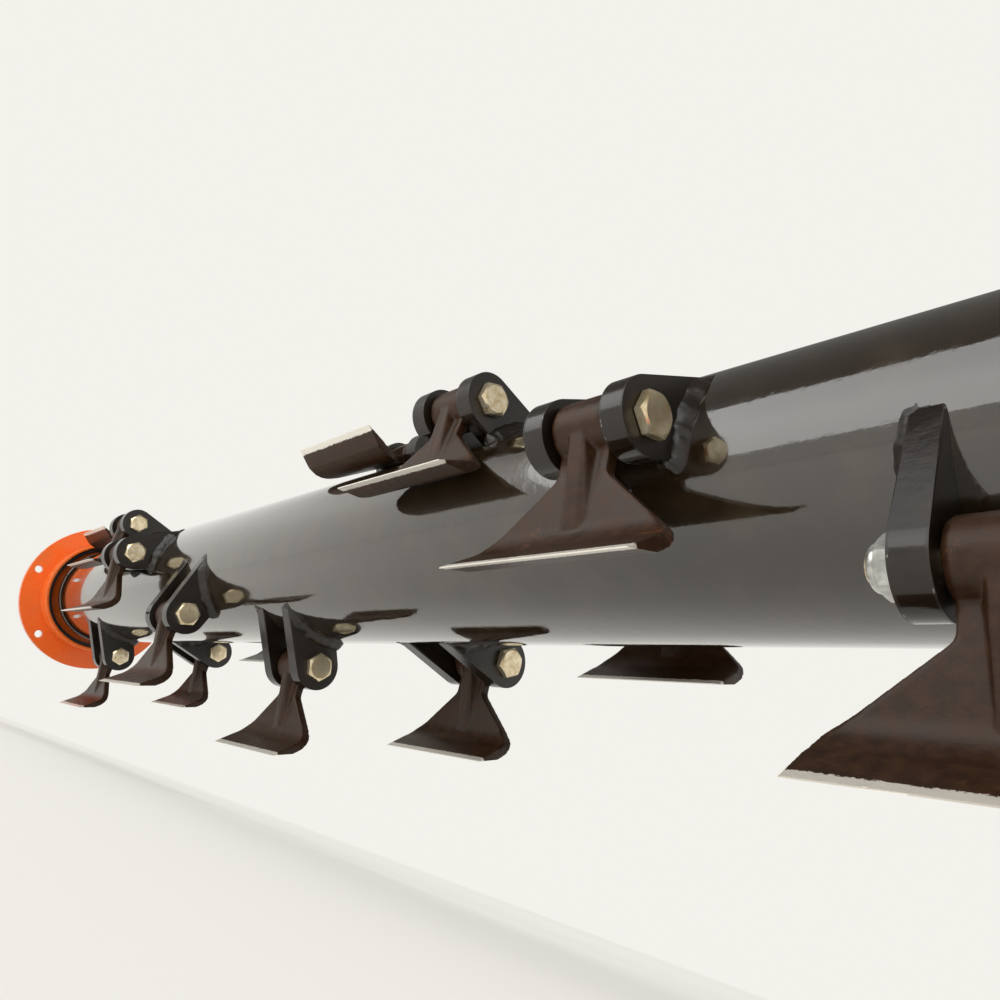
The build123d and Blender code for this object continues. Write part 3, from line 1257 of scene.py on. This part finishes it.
    def dress(self, pins: Sequence[Pin]) -> None:
        """Make the plates and their welds.

        Args:
            pins: The pins round the drum.
        """
        low, high = self.gap / 2, self.gap / 2 + self.thickness
        places, turns = [(p.x, 0, 0) for p in pins], [p.turn for p in pins]
        outline = self.outline()
        pair = [
            shaded(prism("lug_a", outline, low, high, self.bevel)),
            shaded(prism("lug_b", outline, -high, -low, self.bevel)),
        ]
        pair = creased(joined("lug_pair", pair))
        values = {"Shape": pair, "Spread": 0.0, "Seed": 1, "Finish": self.enamel}
        plates = self.repeat.run(stations(places, turns), values, "lug_plates")
        discard(pair)
        deliver(shaded(plates), "rotor", ["lugs"], [])
        for label, side in (("a", 1), ("b", -1)):
            values = {"Shape": self.bead_shape(side), "Seed": 20.0 + side, "Finish": self.enamel}
            values |= {"Lump size": self.lump * MM, "Lumps": self.lumps * MM}
            beads = self.fillets.run(stations(places, turns), values, f"lug_welds_{label}")
            discard(values["Shape"])
            deliver(beads, "rotor", [], [])


@dataclass
class HingeBolts:
    """An M16 bolt through each pair of lugs, and its nut with an insert collar."""

    yellow: Material
    clear: Material
    repeat: StationTree
    across: float = 24.0
    diameter: float = 16.0
    head: float = 6.5
    nut: float = 13.0
    collar: float = 4.4
    collar_lap: float = 1.0
    stand_out: float = 1.5
    pack_half: float = 35.5
    thread_pitch: float = 2.0
    thread_depth: float = 1.1
    threads: int = 6

    def shank(self) -> Object:
        """Make the shank with its threaded end.

        Returns:
            The shank on the X axis.
        """
        r, pitch = self.diameter / 2, self.thread_pitch
        tip = -(self.pack_half + self.nut + self.stand_out)
        line: list[Point2] = [(self.pack_half + 1, 0.0), (self.pack_half + 1, r)]
        x = tip + self.threads * pitch
        line.append((x, r))
        while x > tip + pitch * 1.4:
            line += [(x - pitch * 0.5, r - self.thread_depth), (x - pitch, r - 0.1)]
            x -= pitch
        line += [(tip + 0.2, r - 1.4), (tip, r - 1.8), (tip, 0.0)]
        return lathe("hinge_shank", line, 40, 0.15)

    def nut_shape(self) -> Object:
        """Make the nut: a hexagon with a round collar that holds the insert.

        Returns:
            The nut on the X axis.
        """
        hex_height = self.nut - self.collar + self.collar_lap
        bore, foot = self.diameter - 0.4, self.nut - self.collar
        hexagon = hex_solid("nut_hexagon", self.across, hex_height, -1, bore, both=True)
        r, nut = self.across / 2, self.nut
        line = [(foot, 0.90), (nut - 1.9, 0.88), (nut - 0.5, 0.80), (nut, 0.71)]
        line = [(-x, r * share) for x, share in line]
        collar = lathe("nut_collar", [(-foot, bore / 2), *line, (-nut, bore / 2)], 64, 0.9)
        return moved(joined("nut", [hexagon, collar]), -self.pack_half)

    def dress(self, pins: Sequence[Pin]) -> None:
        """Make the bolts and nuts, each turned by chance as a wrench leaves it.

        Args:
            pins: The pins round the drum.
        """
        head = moved(hex_solid("bolt_hexagon", self.across, self.head, 1), self.pack_half)
        places, turns = [(p.x, p.y, p.z) for p in pins], [p.turn for p in pins]
        bolt = joined("bolt", [head, self.shank()])
        for shape, name, finish, seed in (
            (bolt, "bolt", self.yellow, 4),
            (self.nut_shape(), "nut", self.clear, 9),
        ):
            values = {"Shape": shape, "Spread": math.tau, "Seed": seed, "Finish": finish}
            row = self.repeat.run(stations(places, turns), values, f"hinge_{name}_set")
            discard(shape)
            row = shaded(row, FASTENER_SHARP)
            deliver(row, "rotor", [f"hinge_{name}s"], [])


@dataclass
class Hammer:
    """A forged hammer: hub, neck, rib, and a flared blade bent forward to a ground edge.

    It is shaped about its pin at the origin, hanging down, with its edge to the front.
    """

    skin: Material
    ground: Material
    hub_r: float = 18.0
    hub_width: float = 38.0
    bore: float = 17.0
    thickness: float = 8.0
    set_forward: float = 2.0
    straight: float = 58.5
    bend_r: float = 24.0
    bend_angle: float = 55.0
    lip: float = 24.0
    width: float = 130.0
    neck: float = 35.0
    flare_start: float = 31.0
    flare_end: float = 71.0
    root_r: float = 6.0
    corner_r: float = 15.0
    bevel_angle: float = 20.0
    bevel_land: float = 0.7
    ground_off: float = 4.0
    rib_width: float = 10.0
    rib_root: float = 22.0
    swing_back: float = 125.0
    rib_end: float = 30.0
    hub_boss: float = 1.3
    hub_boss_width: float = 2.2
    voxel: float = 0.9
    easing: int = 9
    edge_sharp: float = 32.0
    thinning: float = 0.6

    @property
    def length(self) -> float:
        """Length along the blade's middle, from the pin's level to its end."""
        return self.straight + self.bend_r * math.radians(self.bend_angle) + self.lip

    def mid_line(self, s: float) -> tuple[Vector, Vector]:
        """Place and direction of the blade's middle at a distance along it.

        Args:
            s: Distance from the pin's level, in millimetres.

        Returns:
            The point in Y and Z, and the direction there.
        """
        arc = self.bend_r * math.radians(self.bend_angle)
        centre = Vector((-self.set_forward - self.bend_r, -self.straight))
        if s <= self.straight:
            return Vector((-self.set_forward, -s)), Vector((0.0, -1.0))
        a = min(s - self.straight, arc) / self.bend_r
        point = centre + self.bend_r * Vector((math.cos(a), -math.sin(a)))
        way = Vector((-math.sin(a), -math.cos(a)))
        return point + way * max(s - self.straight - arc, 0.0), way

    def half_width(self, z: float) -> float:
        """Half of the blade's width at a height: neck, straight flare and rounded turns.

        Args:
            z: Height relative to the pin, in millimetres.

        Returns:
            Half of the width.
        """
        neck, wide = self.neck / 2, self.width / 2
        lean = math.atan2(wide - neck, self.flare_end - self.flare_start)
        past_root = self.root_r * math.tan(lean / 2) - self.flare_start - z
        before_corner = z + self.flare_end + self.corner_r * math.tan(lean / 2)
        if past_root <= 0:
            return neck
        if before_corner <= 0:
            return wide
        if past_root < self.root_r * math.sin(lean):
            return neck + self.root_r - math.sqrt(self.root_r**2 - past_root**2)
        if before_corner < self.corner_r * math.sin(lean):
            return wide - self.corner_r + math.sqrt(self.corner_r**2 - before_corner**2)
        return neck - (z + self.flare_start) * math.tan(lean)

    def blade(self) -> Object:
        """Make the raw blade as a plain closed plate, longer than the ground one.

        Returns:
            The plate.
        """
        form = bmesh.new()
        steps, half = 90, 8
        rows = []
        for i in range(steps + 1):
            point, way = self.mid_line((self.length + self.ground_off) * i / steps)
            normal = Vector((way.y, -way.x))
            faces = []
            for side in (1, -1):
                edge = point + normal * side * self.thickness / 2
                reach = self.half_width(edge.y)
                line = [(reach * k / half, edge.x, edge.y) for k in range(-half, half + 1)]
                faces.append([form.verts.new(at) for at in line])
            rows.append(faces)
        for here, there in zip(rows, rows[1:]):
            for side in (0, 1):
                span(form, (here[side], there[side]), False)
            for k in (0, 2 * half):
                form.faces.new((here[0][k], there[0][k], there[1][k], here[1][k]))
        for cap in (rows[0], rows[-1]):
            span(form, cap, False)
        return from_bmesh("blade", form)

    def rib(self) -> Object:
        """Make the rib, whose sides slope from a narrow front to a wide root.

        Returns:
            The rib.
        """
        end, _ = self.mid_line(self.straight + self.bend_r * math.radians(self.rib_end))
        form = bmesh.new()
        front, root = self.rib_width / 2, self.rib_root / 2
        rows = []
        for (y, z), (back_y, back_z) in (
            ((-self.hub_r + 0.5, 2.0), (-self.set_forward, 2.0)),
            ((end.x - 0.5, end.y), (end.x + 2.0, end.y - 1.0)),
        ):
            row = [(-front, y, z), (front, y, z), (root, back_y, back_z), (-root, back_y, back_z)]
            rows.append([form.verts.new(at) for at in row])
        span(form, rows, True)
        form.faces.new(rows[0])
        form.faces.new(rows[1])
        return from_bmesh("rib", form)

    def forge(self) -> Object:
        """Melt hub, blade and rib into one skin, and bore the hub.

        Returns:
            The forging, before its edge is ground.
        """
        end, r, boss_r = self.hub_width / 2, self.hub_r, self.hub_r - self.hub_boss
        step = end - self.hub_boss_width
        profile = [(-end, 0.0), (-end, boss_r), (-step, boss_r), (-step, r)]
        profile += [(step, r), (step, boss_r), (end, boss_r), (end, 0.0)]
        body = joined("forging", [lathe("hub", profile, 96, 0.8), self.blade(), self.rib()])
        melt = body.modifiers.new("melt", "REMESH")
        melt.mode, melt.voxel_size = "VOXEL", self.voxel * MM
        ease = body.modifiers.new("ease", "SMOOTH")
        ease.factor, ease.iterations = 0.5, self.easing
        body.modifiers.new("thin", "DECIMATE").ratio = self.thinning
        return carved(body, lathe("drill", wall(-30, 30, 0.0, self.bore / 2), 64, 0.0))

    def grind(self, body: Object) -> None:
        """Cut the blade's end and its long bevel as flat faces, for the finishes to follow.

        Each point gets edge_mm, how far back from the blade's end it lies, and
        forged_at, its place on the hammer before that is hung.

        Args:
            body: The forging.
        """
        tip, way = self.mid_line(self.length)
        below = Vector((-way.y, way.x))
        if below.y > 0:
            below = -below
        form = bmesh.new()
        form.from_mesh(body.data)
        for face in form.faces:
            face.material_index = 0
            face.smooth = True
        a = math.radians(self.bevel_angle)
        corner = tip - below * (self.thickness / 2 - self.bevel_land)
        slope = below * math.cos(a) + way * math.sin(a)
        for at, normal in ((tip, way), (corner, slope)):
            cut = bmesh.ops.bisect_plane(
                form,
                geom=[*form.verts, *form.edges, *form.faces],
                plane_co=Vector((0.0, at.x, at.y)) * MM,
                plane_no=Vector((0.0, normal.x, normal.y)),
                clear_outer=True,
            )
            rim = [g for g in cut["geom_cut"] if isinstance(g, BMEdge)]
            for made in bmesh.ops.triangle_fill(form, use_beauty=True, edges=rim)["geom"]:
                if isinstance(made, BMFace):
                    made.material_index = 1
                    made.smooth = False
        bmesh.ops.recalc_face_normals(form, faces=form.faces)
        edge = form.verts.layers.float.new("edge_mm")
        own = form.verts.layers.float_vector.new("forged_at")
        for vertex in form.verts:
            here = Vector((vertex.co.y, vertex.co.z)) / MM
            vertex[edge] = max((tip - here).dot(way), 0.0)
            vertex[own] = vertex.co
        form.to_mesh(body.data)
        form.free()

    def dress(self, pins: Sequence[Pin]) -> None:
        """Shape one hammer as the pattern, and hang a copy on each pin, as it comes to rest.

        Args:
            pins: The hammers' pins.
        """
        pattern = self.forge()
        self.grind(pattern)
        pattern.data.set_sharp_from_angle(angle=math.radians(self.edge_sharp))
        for pin in pins:
            rest = pin.angle - self.swing_back - pin.low
            turn = Matrix.Rotation(-math.radians(rest + 90), 4, "X")
            mesh = pattern.data.copy()
            mesh.transform(Matrix.Translation(Vector((pin.x, pin.y, pin.z)) * MM) @ turn)
            piece = new_object(f"flail_{pin.hammer[-2:]}", mesh)
            deliver(piece, pin.hammer, [pin.hammer], [self.skin, self.ground])
        discard(pattern)


@dataclass
class BearingUnit:
    """Carrier plate, guard collar, seal ring, housing and races at one end."""

    end: str
    orange: Material
    black: Material
    cast: Material
    race: Material
    shaft: Material
    clear: Material
    repeat: StationTree
    carrier_r: float = 135.0
    carrier_hole_r: float = 48.0
    carrier_thickness: float = 12.0
    rim_bolt_r: float = 120.0
    rim_hole: float = 13.5
    rim_holes: int = 6
    collar_r: float = 102.5
    collar_wall: float = 6.0
    collar_depth: float = 45.0
    ring_r: float = 96.2
    ring_wall: float = 7.0
    ring_depth: float = 30.0
    flange_r: float = 84.0
    flange: float = 14.0
    boss_r: float = 54.0
    depth: float = 38.0
    draft: float = 4.0
    root: float = 5.0
    bolt_r: float = 70.5
    bolt_across: float = 18.0
    bolt_head: float = 7.5
    nipple_tilt: float = -30.0
    bearing_r: float = 42.5
    bearing_width: float = 22.0
    bearing_play: float = 0.3
    race_r: float = 29.0
    race_width: float = 44.0
    shaft_r: float = 22.5
    shoulder_r: float = 30.0
    stub_start: float = -52.0
    stub_flange_r: float = 62.0
    stub_flange: float = 15.0
    race_lip: float = 2.0
    shaft_chamfer: float = 2.0
    driven_r: float = 20.0
    driven_length: float = 85.0
    key_width: float = 12.0
    key_length: float = 63.0
    key_floor: float = 15.0
    key_angle: float = 127.5

    @property
    def out(self) -> int:
        """Direction along X that leads outwards."""
        return -1 if self.end == "left" else 1

    @property
    def seat(self) -> float:
        """X of the face where the carrier sits on the machine."""
        low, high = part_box(f"{self.end}_carrier")
        return (high.x if self.end == "left" else low.x) / MM

    @property
    def race_start(self) -> float:
        """How far outwards from the seat the inner race begins."""
        return self.carrier_thickness + (self.depth - self.race_width) / 2

    def turned(
        self, name: str, profile: Sequence[Point2], segments: int = 128, round_mm: float = 1.0
    ) -> Object:
        """Turn a profile that is given outwards from the seat, and name it for this end."""
        placed = [(self.seat + self.out * x, r) for x, r in profile]
        return lathe(f"{self.end}_{name}", placed, segments, round_mm)

    def fit(self, piece: Object, node: str, finish: Material, body: str = "") -> None:
        """Let a piece stand for one of this end's nodes, by default on the bearing unit."""
        body = body or f"{self.end}_bearing_unit"
        deliver(shaded(piece), body, [f"{self.end}_{node}"], [finish])

    def dress(self) -> None:
        """Make every piece of the unit."""
        self.plate()
        self.guard()
        self.housing()
        self.fasteners()
        self.races()
        self.stub()

    def plate(self) -> None:
        """Make the round carrier plate with its rim holes."""
        profile = wall(0, self.carrier_thickness, self.carrier_hole_r, self.carrier_r)
        plate = self.turned("carrier_plate", profile, 192)
        form = bmesh.new()
        hole_r, on_side = self.rim_hole / 2, Matrix.Rotation(math.pi / 2, 4, "Y")
        for i in range(self.rim_holes):
            y, z = outward(180 + 360 * i / self.rim_holes, self.rim_bolt_r)
            place = Matrix.Translation((self.seat + self.out * 8, y, z)) @ on_side
            sizes = {"segments": 48, "radius1": hole_r, "radius2": hole_r, "depth": 60}
            bmesh.ops.create_cone(form, cap_ends=True, matrix=place, **sizes)
        carved(plate, from_bmesh("hole_cutter", form))
        self.fit(plate, "carrier", self.orange)

    def guard(self) -> None:
        """Make the guard collar and the seal ring inside it."""
        r = self.collar_r
        collar = wall(0, -self.collar_depth, r - self.collar_wall, r)
        collar = self.turned("collar_band", collar, 192, 2.0)
        self.fit(collar, "guard_collar", self.orange)
        ring = wall(0, -self.ring_depth, self.ring_r - self.ring_wall, self.ring_r)
        ring = self.turned("ring_band", ring, 192, 1.6)
        self.fit(ring, "seal_ring", self.black)

    def housing(self) -> None:
        """Make the cast housing: a flange, a rounded root and a boss with draft."""
        back, bore = self.carrier_thickness, self.bearing_r + self.bearing_play
        face, end = back + self.flange, back + self.depth
        profile = [(back, bore), (back, self.flange_r), (face, self.flange_r)]
        profile += [(face, self.boss_r + self.root), (face + self.root, self.boss_r)]
        profile += [(end, self.boss_r - self.draft), (end, bore)]
        casting = self.turned("cast_housing", profile, 144, 2.4)
        self.fit(casting, "bearing_housing", self.cast)

    def fasteners(self) -> None:
        """Make the housing's four bolts and its grease nipple."""
        body = f"{self.end}_bearing_unit"
        head = hex_solid("housing_bolt", self.bolt_across, self.bolt_head, self.out)
        x = self.seat + self.out * (self.carrier_thickness + self.flange)
        places = [(x, *outward(45 + 90 * i, self.bolt_r)) for i in range(4)]
        values = {"Shape": head, "Spread": math.tau, "Seed": 6, "Finish": self.clear}
        points = stations(places, [0.0] * 4)
        bolts = self.repeat.run(points, values, f"{self.end}_housing_bolt_set")
        discard(head)
        bolts = shaded(bolts, FASTENER_SHARP)
        deliver(bolts, body, [f"{self.end}_housing_bolts"], [])
        profile = [(0, 0), (0, 3.6), (2.5, 3.6), (3.2, 2.6), (5.5, 2.2), (6.2, 3.0), (8.2, 3.0)]
        profile += [(9.2, 1.6), (9.2, 0)]
        nipple = lathe(f"{self.end}_grease_nipple", profile, 24, 0.3)
        along = self.seat + self.out * (self.carrier_thickness + self.depth - 10)
        stand = Matrix.Translation(Vector((along, 0, 0)) * MM)
        stand @= Matrix.Rotation(math.radians(self.nipple_tilt), 4, "X")
        stand @= Matrix.Translation(Vector((0, 0, self.boss_r - self.draft - 0.4)) * MM)
        stand @= Matrix.Rotation(math.radians(-90), 4, "Y")
        nipple.data.transform(stand)
        deliver(shaded(nipple, 30), body, [], [self.clear])

    def races(self) -> None:
        """Make the outer race, its shield and the inner race."""
        start = self.carrier_thickness + (self.depth - self.bearing_width) / 2
        end, r, inner = start + self.bearing_width, self.bearing_r, self.race_r + 0.5
        profile = [(start, inner), (start, r), (end, r), (end, r - 4), (end - 2.0, r - 5)]
        outer = self.turned("outer_ring", [*profile, (end - 2.6, inner)], 128, 0.6)
        self.fit(outer, "outer_race", self.race)
        start, end = self.race_start, self.race_start + self.race_width
        race = self.turned("inner_ring", wall(start, end, self.shaft_r + 0.1, self.race_r))
        self.fit(race, "inner_race", self.race, "rotor")

    def stub(self) -> None:
        """Make the stub shaft, with a keyway where it is driven."""
        flange_end, r, cut = self.stub_start + self.stub_flange, self.shaft_r, self.shaft_chamfer
        end = self.race_start + self.race_width + self.race_lip
        line: list[Point2] = [(self.stub_start, 0), (self.stub_start, self.stub_flange_r)]
        line += [(flange_end, self.stub_flange_r), (flange_end, self.shoulder_r)]
        line += [(self.race_start, self.shoulder_r), (self.race_start, r)]
        line += [(end - cut, r), (end, r - cut)]
        if self.end == "left":
            shaft = self.turned("stub", [*line, (end, 0)], 128, 0.5)
        else:
            tip, r = end + self.driven_length, self.driven_r
            line += [(end, r), (tip - cut, r), (tip, r - cut), (tip, 0)]
            shaft = self.turned("stub", line, 128, 0.5)
            carved(shaft, self.key_cutter(end))
        self.fit(shaft, "stub_shaft", self.shaft, "rotor")

    def key_cutter(self, start: float) -> Object:
        """Make the shape that mills the round-ended keyway into the driven end.

        Args:
            start: How far outwards the driven end begins.

        Returns:
            The cutter, which reaches from the keyway's floor out of the shaft.
        """
        middle = self.seat + self.out * (start + self.driven_length / 2)
        r, flats = self.key_width / 2, 16
        reach = self.key_length / 2 - r
        outline = []
        for side in (1, -1):
            for i in range(flats + 1):
                a = math.radians(-90 + 180 * i / flats)
                outline.append((side * (reach + r * math.cos(a)), side * r * math.sin(a)))
        form = bmesh.new()
        depths = (self.key_floor, self.key_floor + 25)
        rows = [[form.verts.new((middle + x, y, z)) for x, y in outline] for z in depths]
        form.faces.new(rows[0])
        form.faces.new(rows[1])
        span(form, rows, True)
        cutter = from_bmesh("key_cutter", form)
        cutter.data.transform(Matrix.Rotation(math.radians(90 - self.key_angle), 4, "X"))
        return cutter


# Studio


@dataclass
class Studio:
    """Pale floor, soft light and the camera."""

    floor_z: float = -0.262
    floor_reach: float = 9.0
    middle: float = 0.85
    camera_at: Point3 = (1.6211, -0.34395, -0.24614)
    right: Point3 = (0.67268, 0.67180, 0.31011)
    up: Point3 = (0.13512, -0.52360, 0.84118)
    lens: float = 27.0
    pale: str = "f3f1eb"
    card: str = "e6e4e0"
    backdrop: float = 1.0
    overhead: float = 0.16
    ambient: float = 0.62

    def camera(self) -> None:
        """Set the camera low under the rotor, as the photographer held it."""
        data = bpy.data.cameras.new("camera")
        data.lens = self.lens
        data.sensor_width = 36.0
        data.clip_start = 0.01
        camera = new_object("camera", data)
        right, up = Vector(self.right).normalized(), Vector(self.up)
        up = (up - up.dot(right) * right).normalized()
        turn = Matrix((right, up, right.cross(up))).transposed().to_4x4()
        camera.matrix_world = Matrix.Translation(self.camera_at) @ turn
        bpy.context.scene.camera = camera

    def floor(self) -> None:
        """Lay the pale floor, which takes the rotor's shadow and turns into backdrop far off."""
        mesh = bpy.data.meshes.new("floor")
        r, x = self.floor_reach, self.middle
        corners = [(x - r, -r), (x + r, -r), (x + r, r), (x - r, r)]
        mesh.from_pydata([(*corner, self.floor_z) for corner in corners], [], [(0, 1, 2, 3)])
        material = bpy.data.materials.new("floor_card")
        material.use_nodes = True
        add = emptied(material.node_tree)
        place = add("ShaderNodeTexCoord")["Object"]
        middle = {0: place, 1: (0.8, 0.0, 0.0)}
        far = add(VECTOR_MATH, middle, operation="DISTANCE")["Value"]
        fade = {"From Min": 0.8, "From Max": 3.2, "To Min": 0.55, "To Max": 1.0}
        share = add(RANGE, {"Value": far, **fade}, interpolation_type="SMOOTHSTEP")[0]
        share = add(MATH, {0: self.seen(add), 1: share}, operation="MULTIPLY")[0]
        paper = {"Base Color": linear(self.card), "Roughness": 0.85}
        card = add("ShaderNodeBsdfPrincipled", paper)[0]
        glow = {"Color": linear(self.pale), "Strength": self.backdrop}
        glow = add("ShaderNodeEmission", glow)[0]
        shown = add("ShaderNodeMixShader", {0: share, 1: card, 2: glow})[0]
        add("ShaderNodeOutputMaterial", {"Surface": shown})
        mesh.materials.append(material)
        floor = new_object("floor", mesh)

    def seen(self, add: Add) -> NodeSocket:
        """Tell rays of the camera, of gloss and of glass from those that only bring light.

        Args:
            add: Adds a node to the tree.

        Returns:
            1 for a ray that shows what it meets.
        """
        ray = add("ShaderNodeLightPath")
        seen = {0: ray["Is Camera Ray"], 1: ray["Is Glossy Ray"]}
        seen = add(MATH, seen, operation="MAXIMUM")[0]
        return add(MATH, {0: seen, 1: ray["Is Transmission Ray"]}, operation="MAXIMUM")[0]

    def sky(self) -> None:
        """Light the scene evenly, and show a backdrop that darkens overhead for gloss alone."""
        world = bpy.data.worlds.new("studio")
        bpy.context.scene.world = world
        world.use_nodes = True
        add = emptied(world.node_tree)
        way = add("ShaderNodeTexCoord")["Generated"]
        rise = add("ShaderNodeSeparateXYZ", {"Vector": way})["Z"]
        fade = {"Value": rise, "From Min": 0.35, "From Max": 0.80}
        fade |= {"To Min": self.backdrop, "To Max": self.overhead}
        overhead = add(RANGE, fade, interpolation_type="SMOOTHSTEP")[0]
        camera = add("ShaderNodeLightPath")["Is Camera Ray"]
        strength = add(MIX, {0: camera, 2: overhead, 3: self.backdrop}, data_type="FLOAT")[0]
        pale = linear(self.pale)
        plain = add("ShaderNodeBackground", {"Color": pale, "Strength": self.ambient})[0]
        shown = add("ShaderNodeBackground", {"Color": pale, "Strength": strength})[0]
        mixed = add("ShaderNodeMixShader", {0: self.seen(add), 1: plain, 2: shown})[0]
        add("ShaderNodeOutputWorld", {"Surface": mixed})

    def lamps(self) -> None:
        """Set up a long lamp in front, which gloss shows, a wide one above and a weak one below."""
        middle = (0.9, 0.0, 0.0)
        for name, place, target, width, height, power, glossy in (
            ("front_strip", (1.0, -1.6, 0.85), middle, 3.0, 1.5, 23.0, True),
            ("top_soft", (0.6, 0.4, 1.9), middle, 2.4, 1.6, 24.0, False),
            ("low_fill", (1.0, -0.5, -0.255), (1.0, -0.5, 1.0), 1.8, 0.5, 5.0, False),
        ):
            data = bpy.data.lights.new(name, "AREA")
            data.shape = "RECTANGLE"
            data.size, data.size_y, data.energy = width, height, power
            lamp = new_object(name, data)
            lamp.visible_glossy = glossy
            lamp.visible_camera = False
            way = (Vector(target) - Vector(place)).to_track_quat("-Z", "Y")
            lamp.matrix_world = Matrix.Translation(place) @ way.to_matrix().to_4x4()

    def set_up(self) -> None:
        """Set up floor, light and camera."""
        self.floor()
        self.sky()
        self.lamps()
        self.camera()
        bpy.context.scene.view_settings.view_transform = "Standard"


def main() -> None:
    """Build the rotor's looks, piece by piece."""
    logging.basicConfig(level=logging.INFO, format="%(name)s: %(message)s")
    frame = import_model()
    pins = read_pins(frame["joints"])
    # The drum's enamel is painted browner and lighter than black, and its dust browner: a painted
    # warm reflection, on top of real dust patches.
    enamel = GlossEnamel(
        "black_gloss_enamel", "20180e", "4a3d2a", 0.07, coat=1.0, peel_depth=0.09
    ).material()
    cut_enamel = GlossEnamel(
        "black_enamel_on_flame_cut_steel", "150d07", "35291b", 0.12, flame_cut=True
    ).material()
    orange = GlossEnamel("orange_enamel", "ea671c", "b97544", 0.25).material()
    satin = GlossEnamel("satin_black_enamel", "12100f", "2b2722", 0.38, dust=0.4).material()
    yellow = ZincPlate("yellow_zinc", Passivation.YELLOW.value).material()
    clear = ZincPlate("clear_zinc", Passivation.CLEAR.value).material()
    shaft = TurnedSteel("turned_shaft_steel", ("b9b6b0", "8f887d"), (0.22, 0.42)).material()
    race = TurnedSteel(
        "bearing_steel", ("c6c5c2", "a3a19c"), (0.10, 0.22), line_mm=0.5
    ).material()
    repeat = repeat_tree()
    Drum(enamel, seam_tree()).dress()
    LugPacks(cut_enamel, repeat, fillet_tree()).dress(pins)
    HingeBolts(yellow, clear, repeat).dress(pins)
    skin, ground = ForgedSkin("forged_satin_black"), GroundSteel("ground_steel")
    Hammer(skin.material(), ground.material()).dress(pins)
    cast = CastPaint("painted_cast_iron").material()
    for end in ("left", "right"):
        BearingUnit(end, orange, satin, cast, race, shaft, clear, repeat).dress()
    Studio().set_up()


if __name__ == "__main__":
    main()
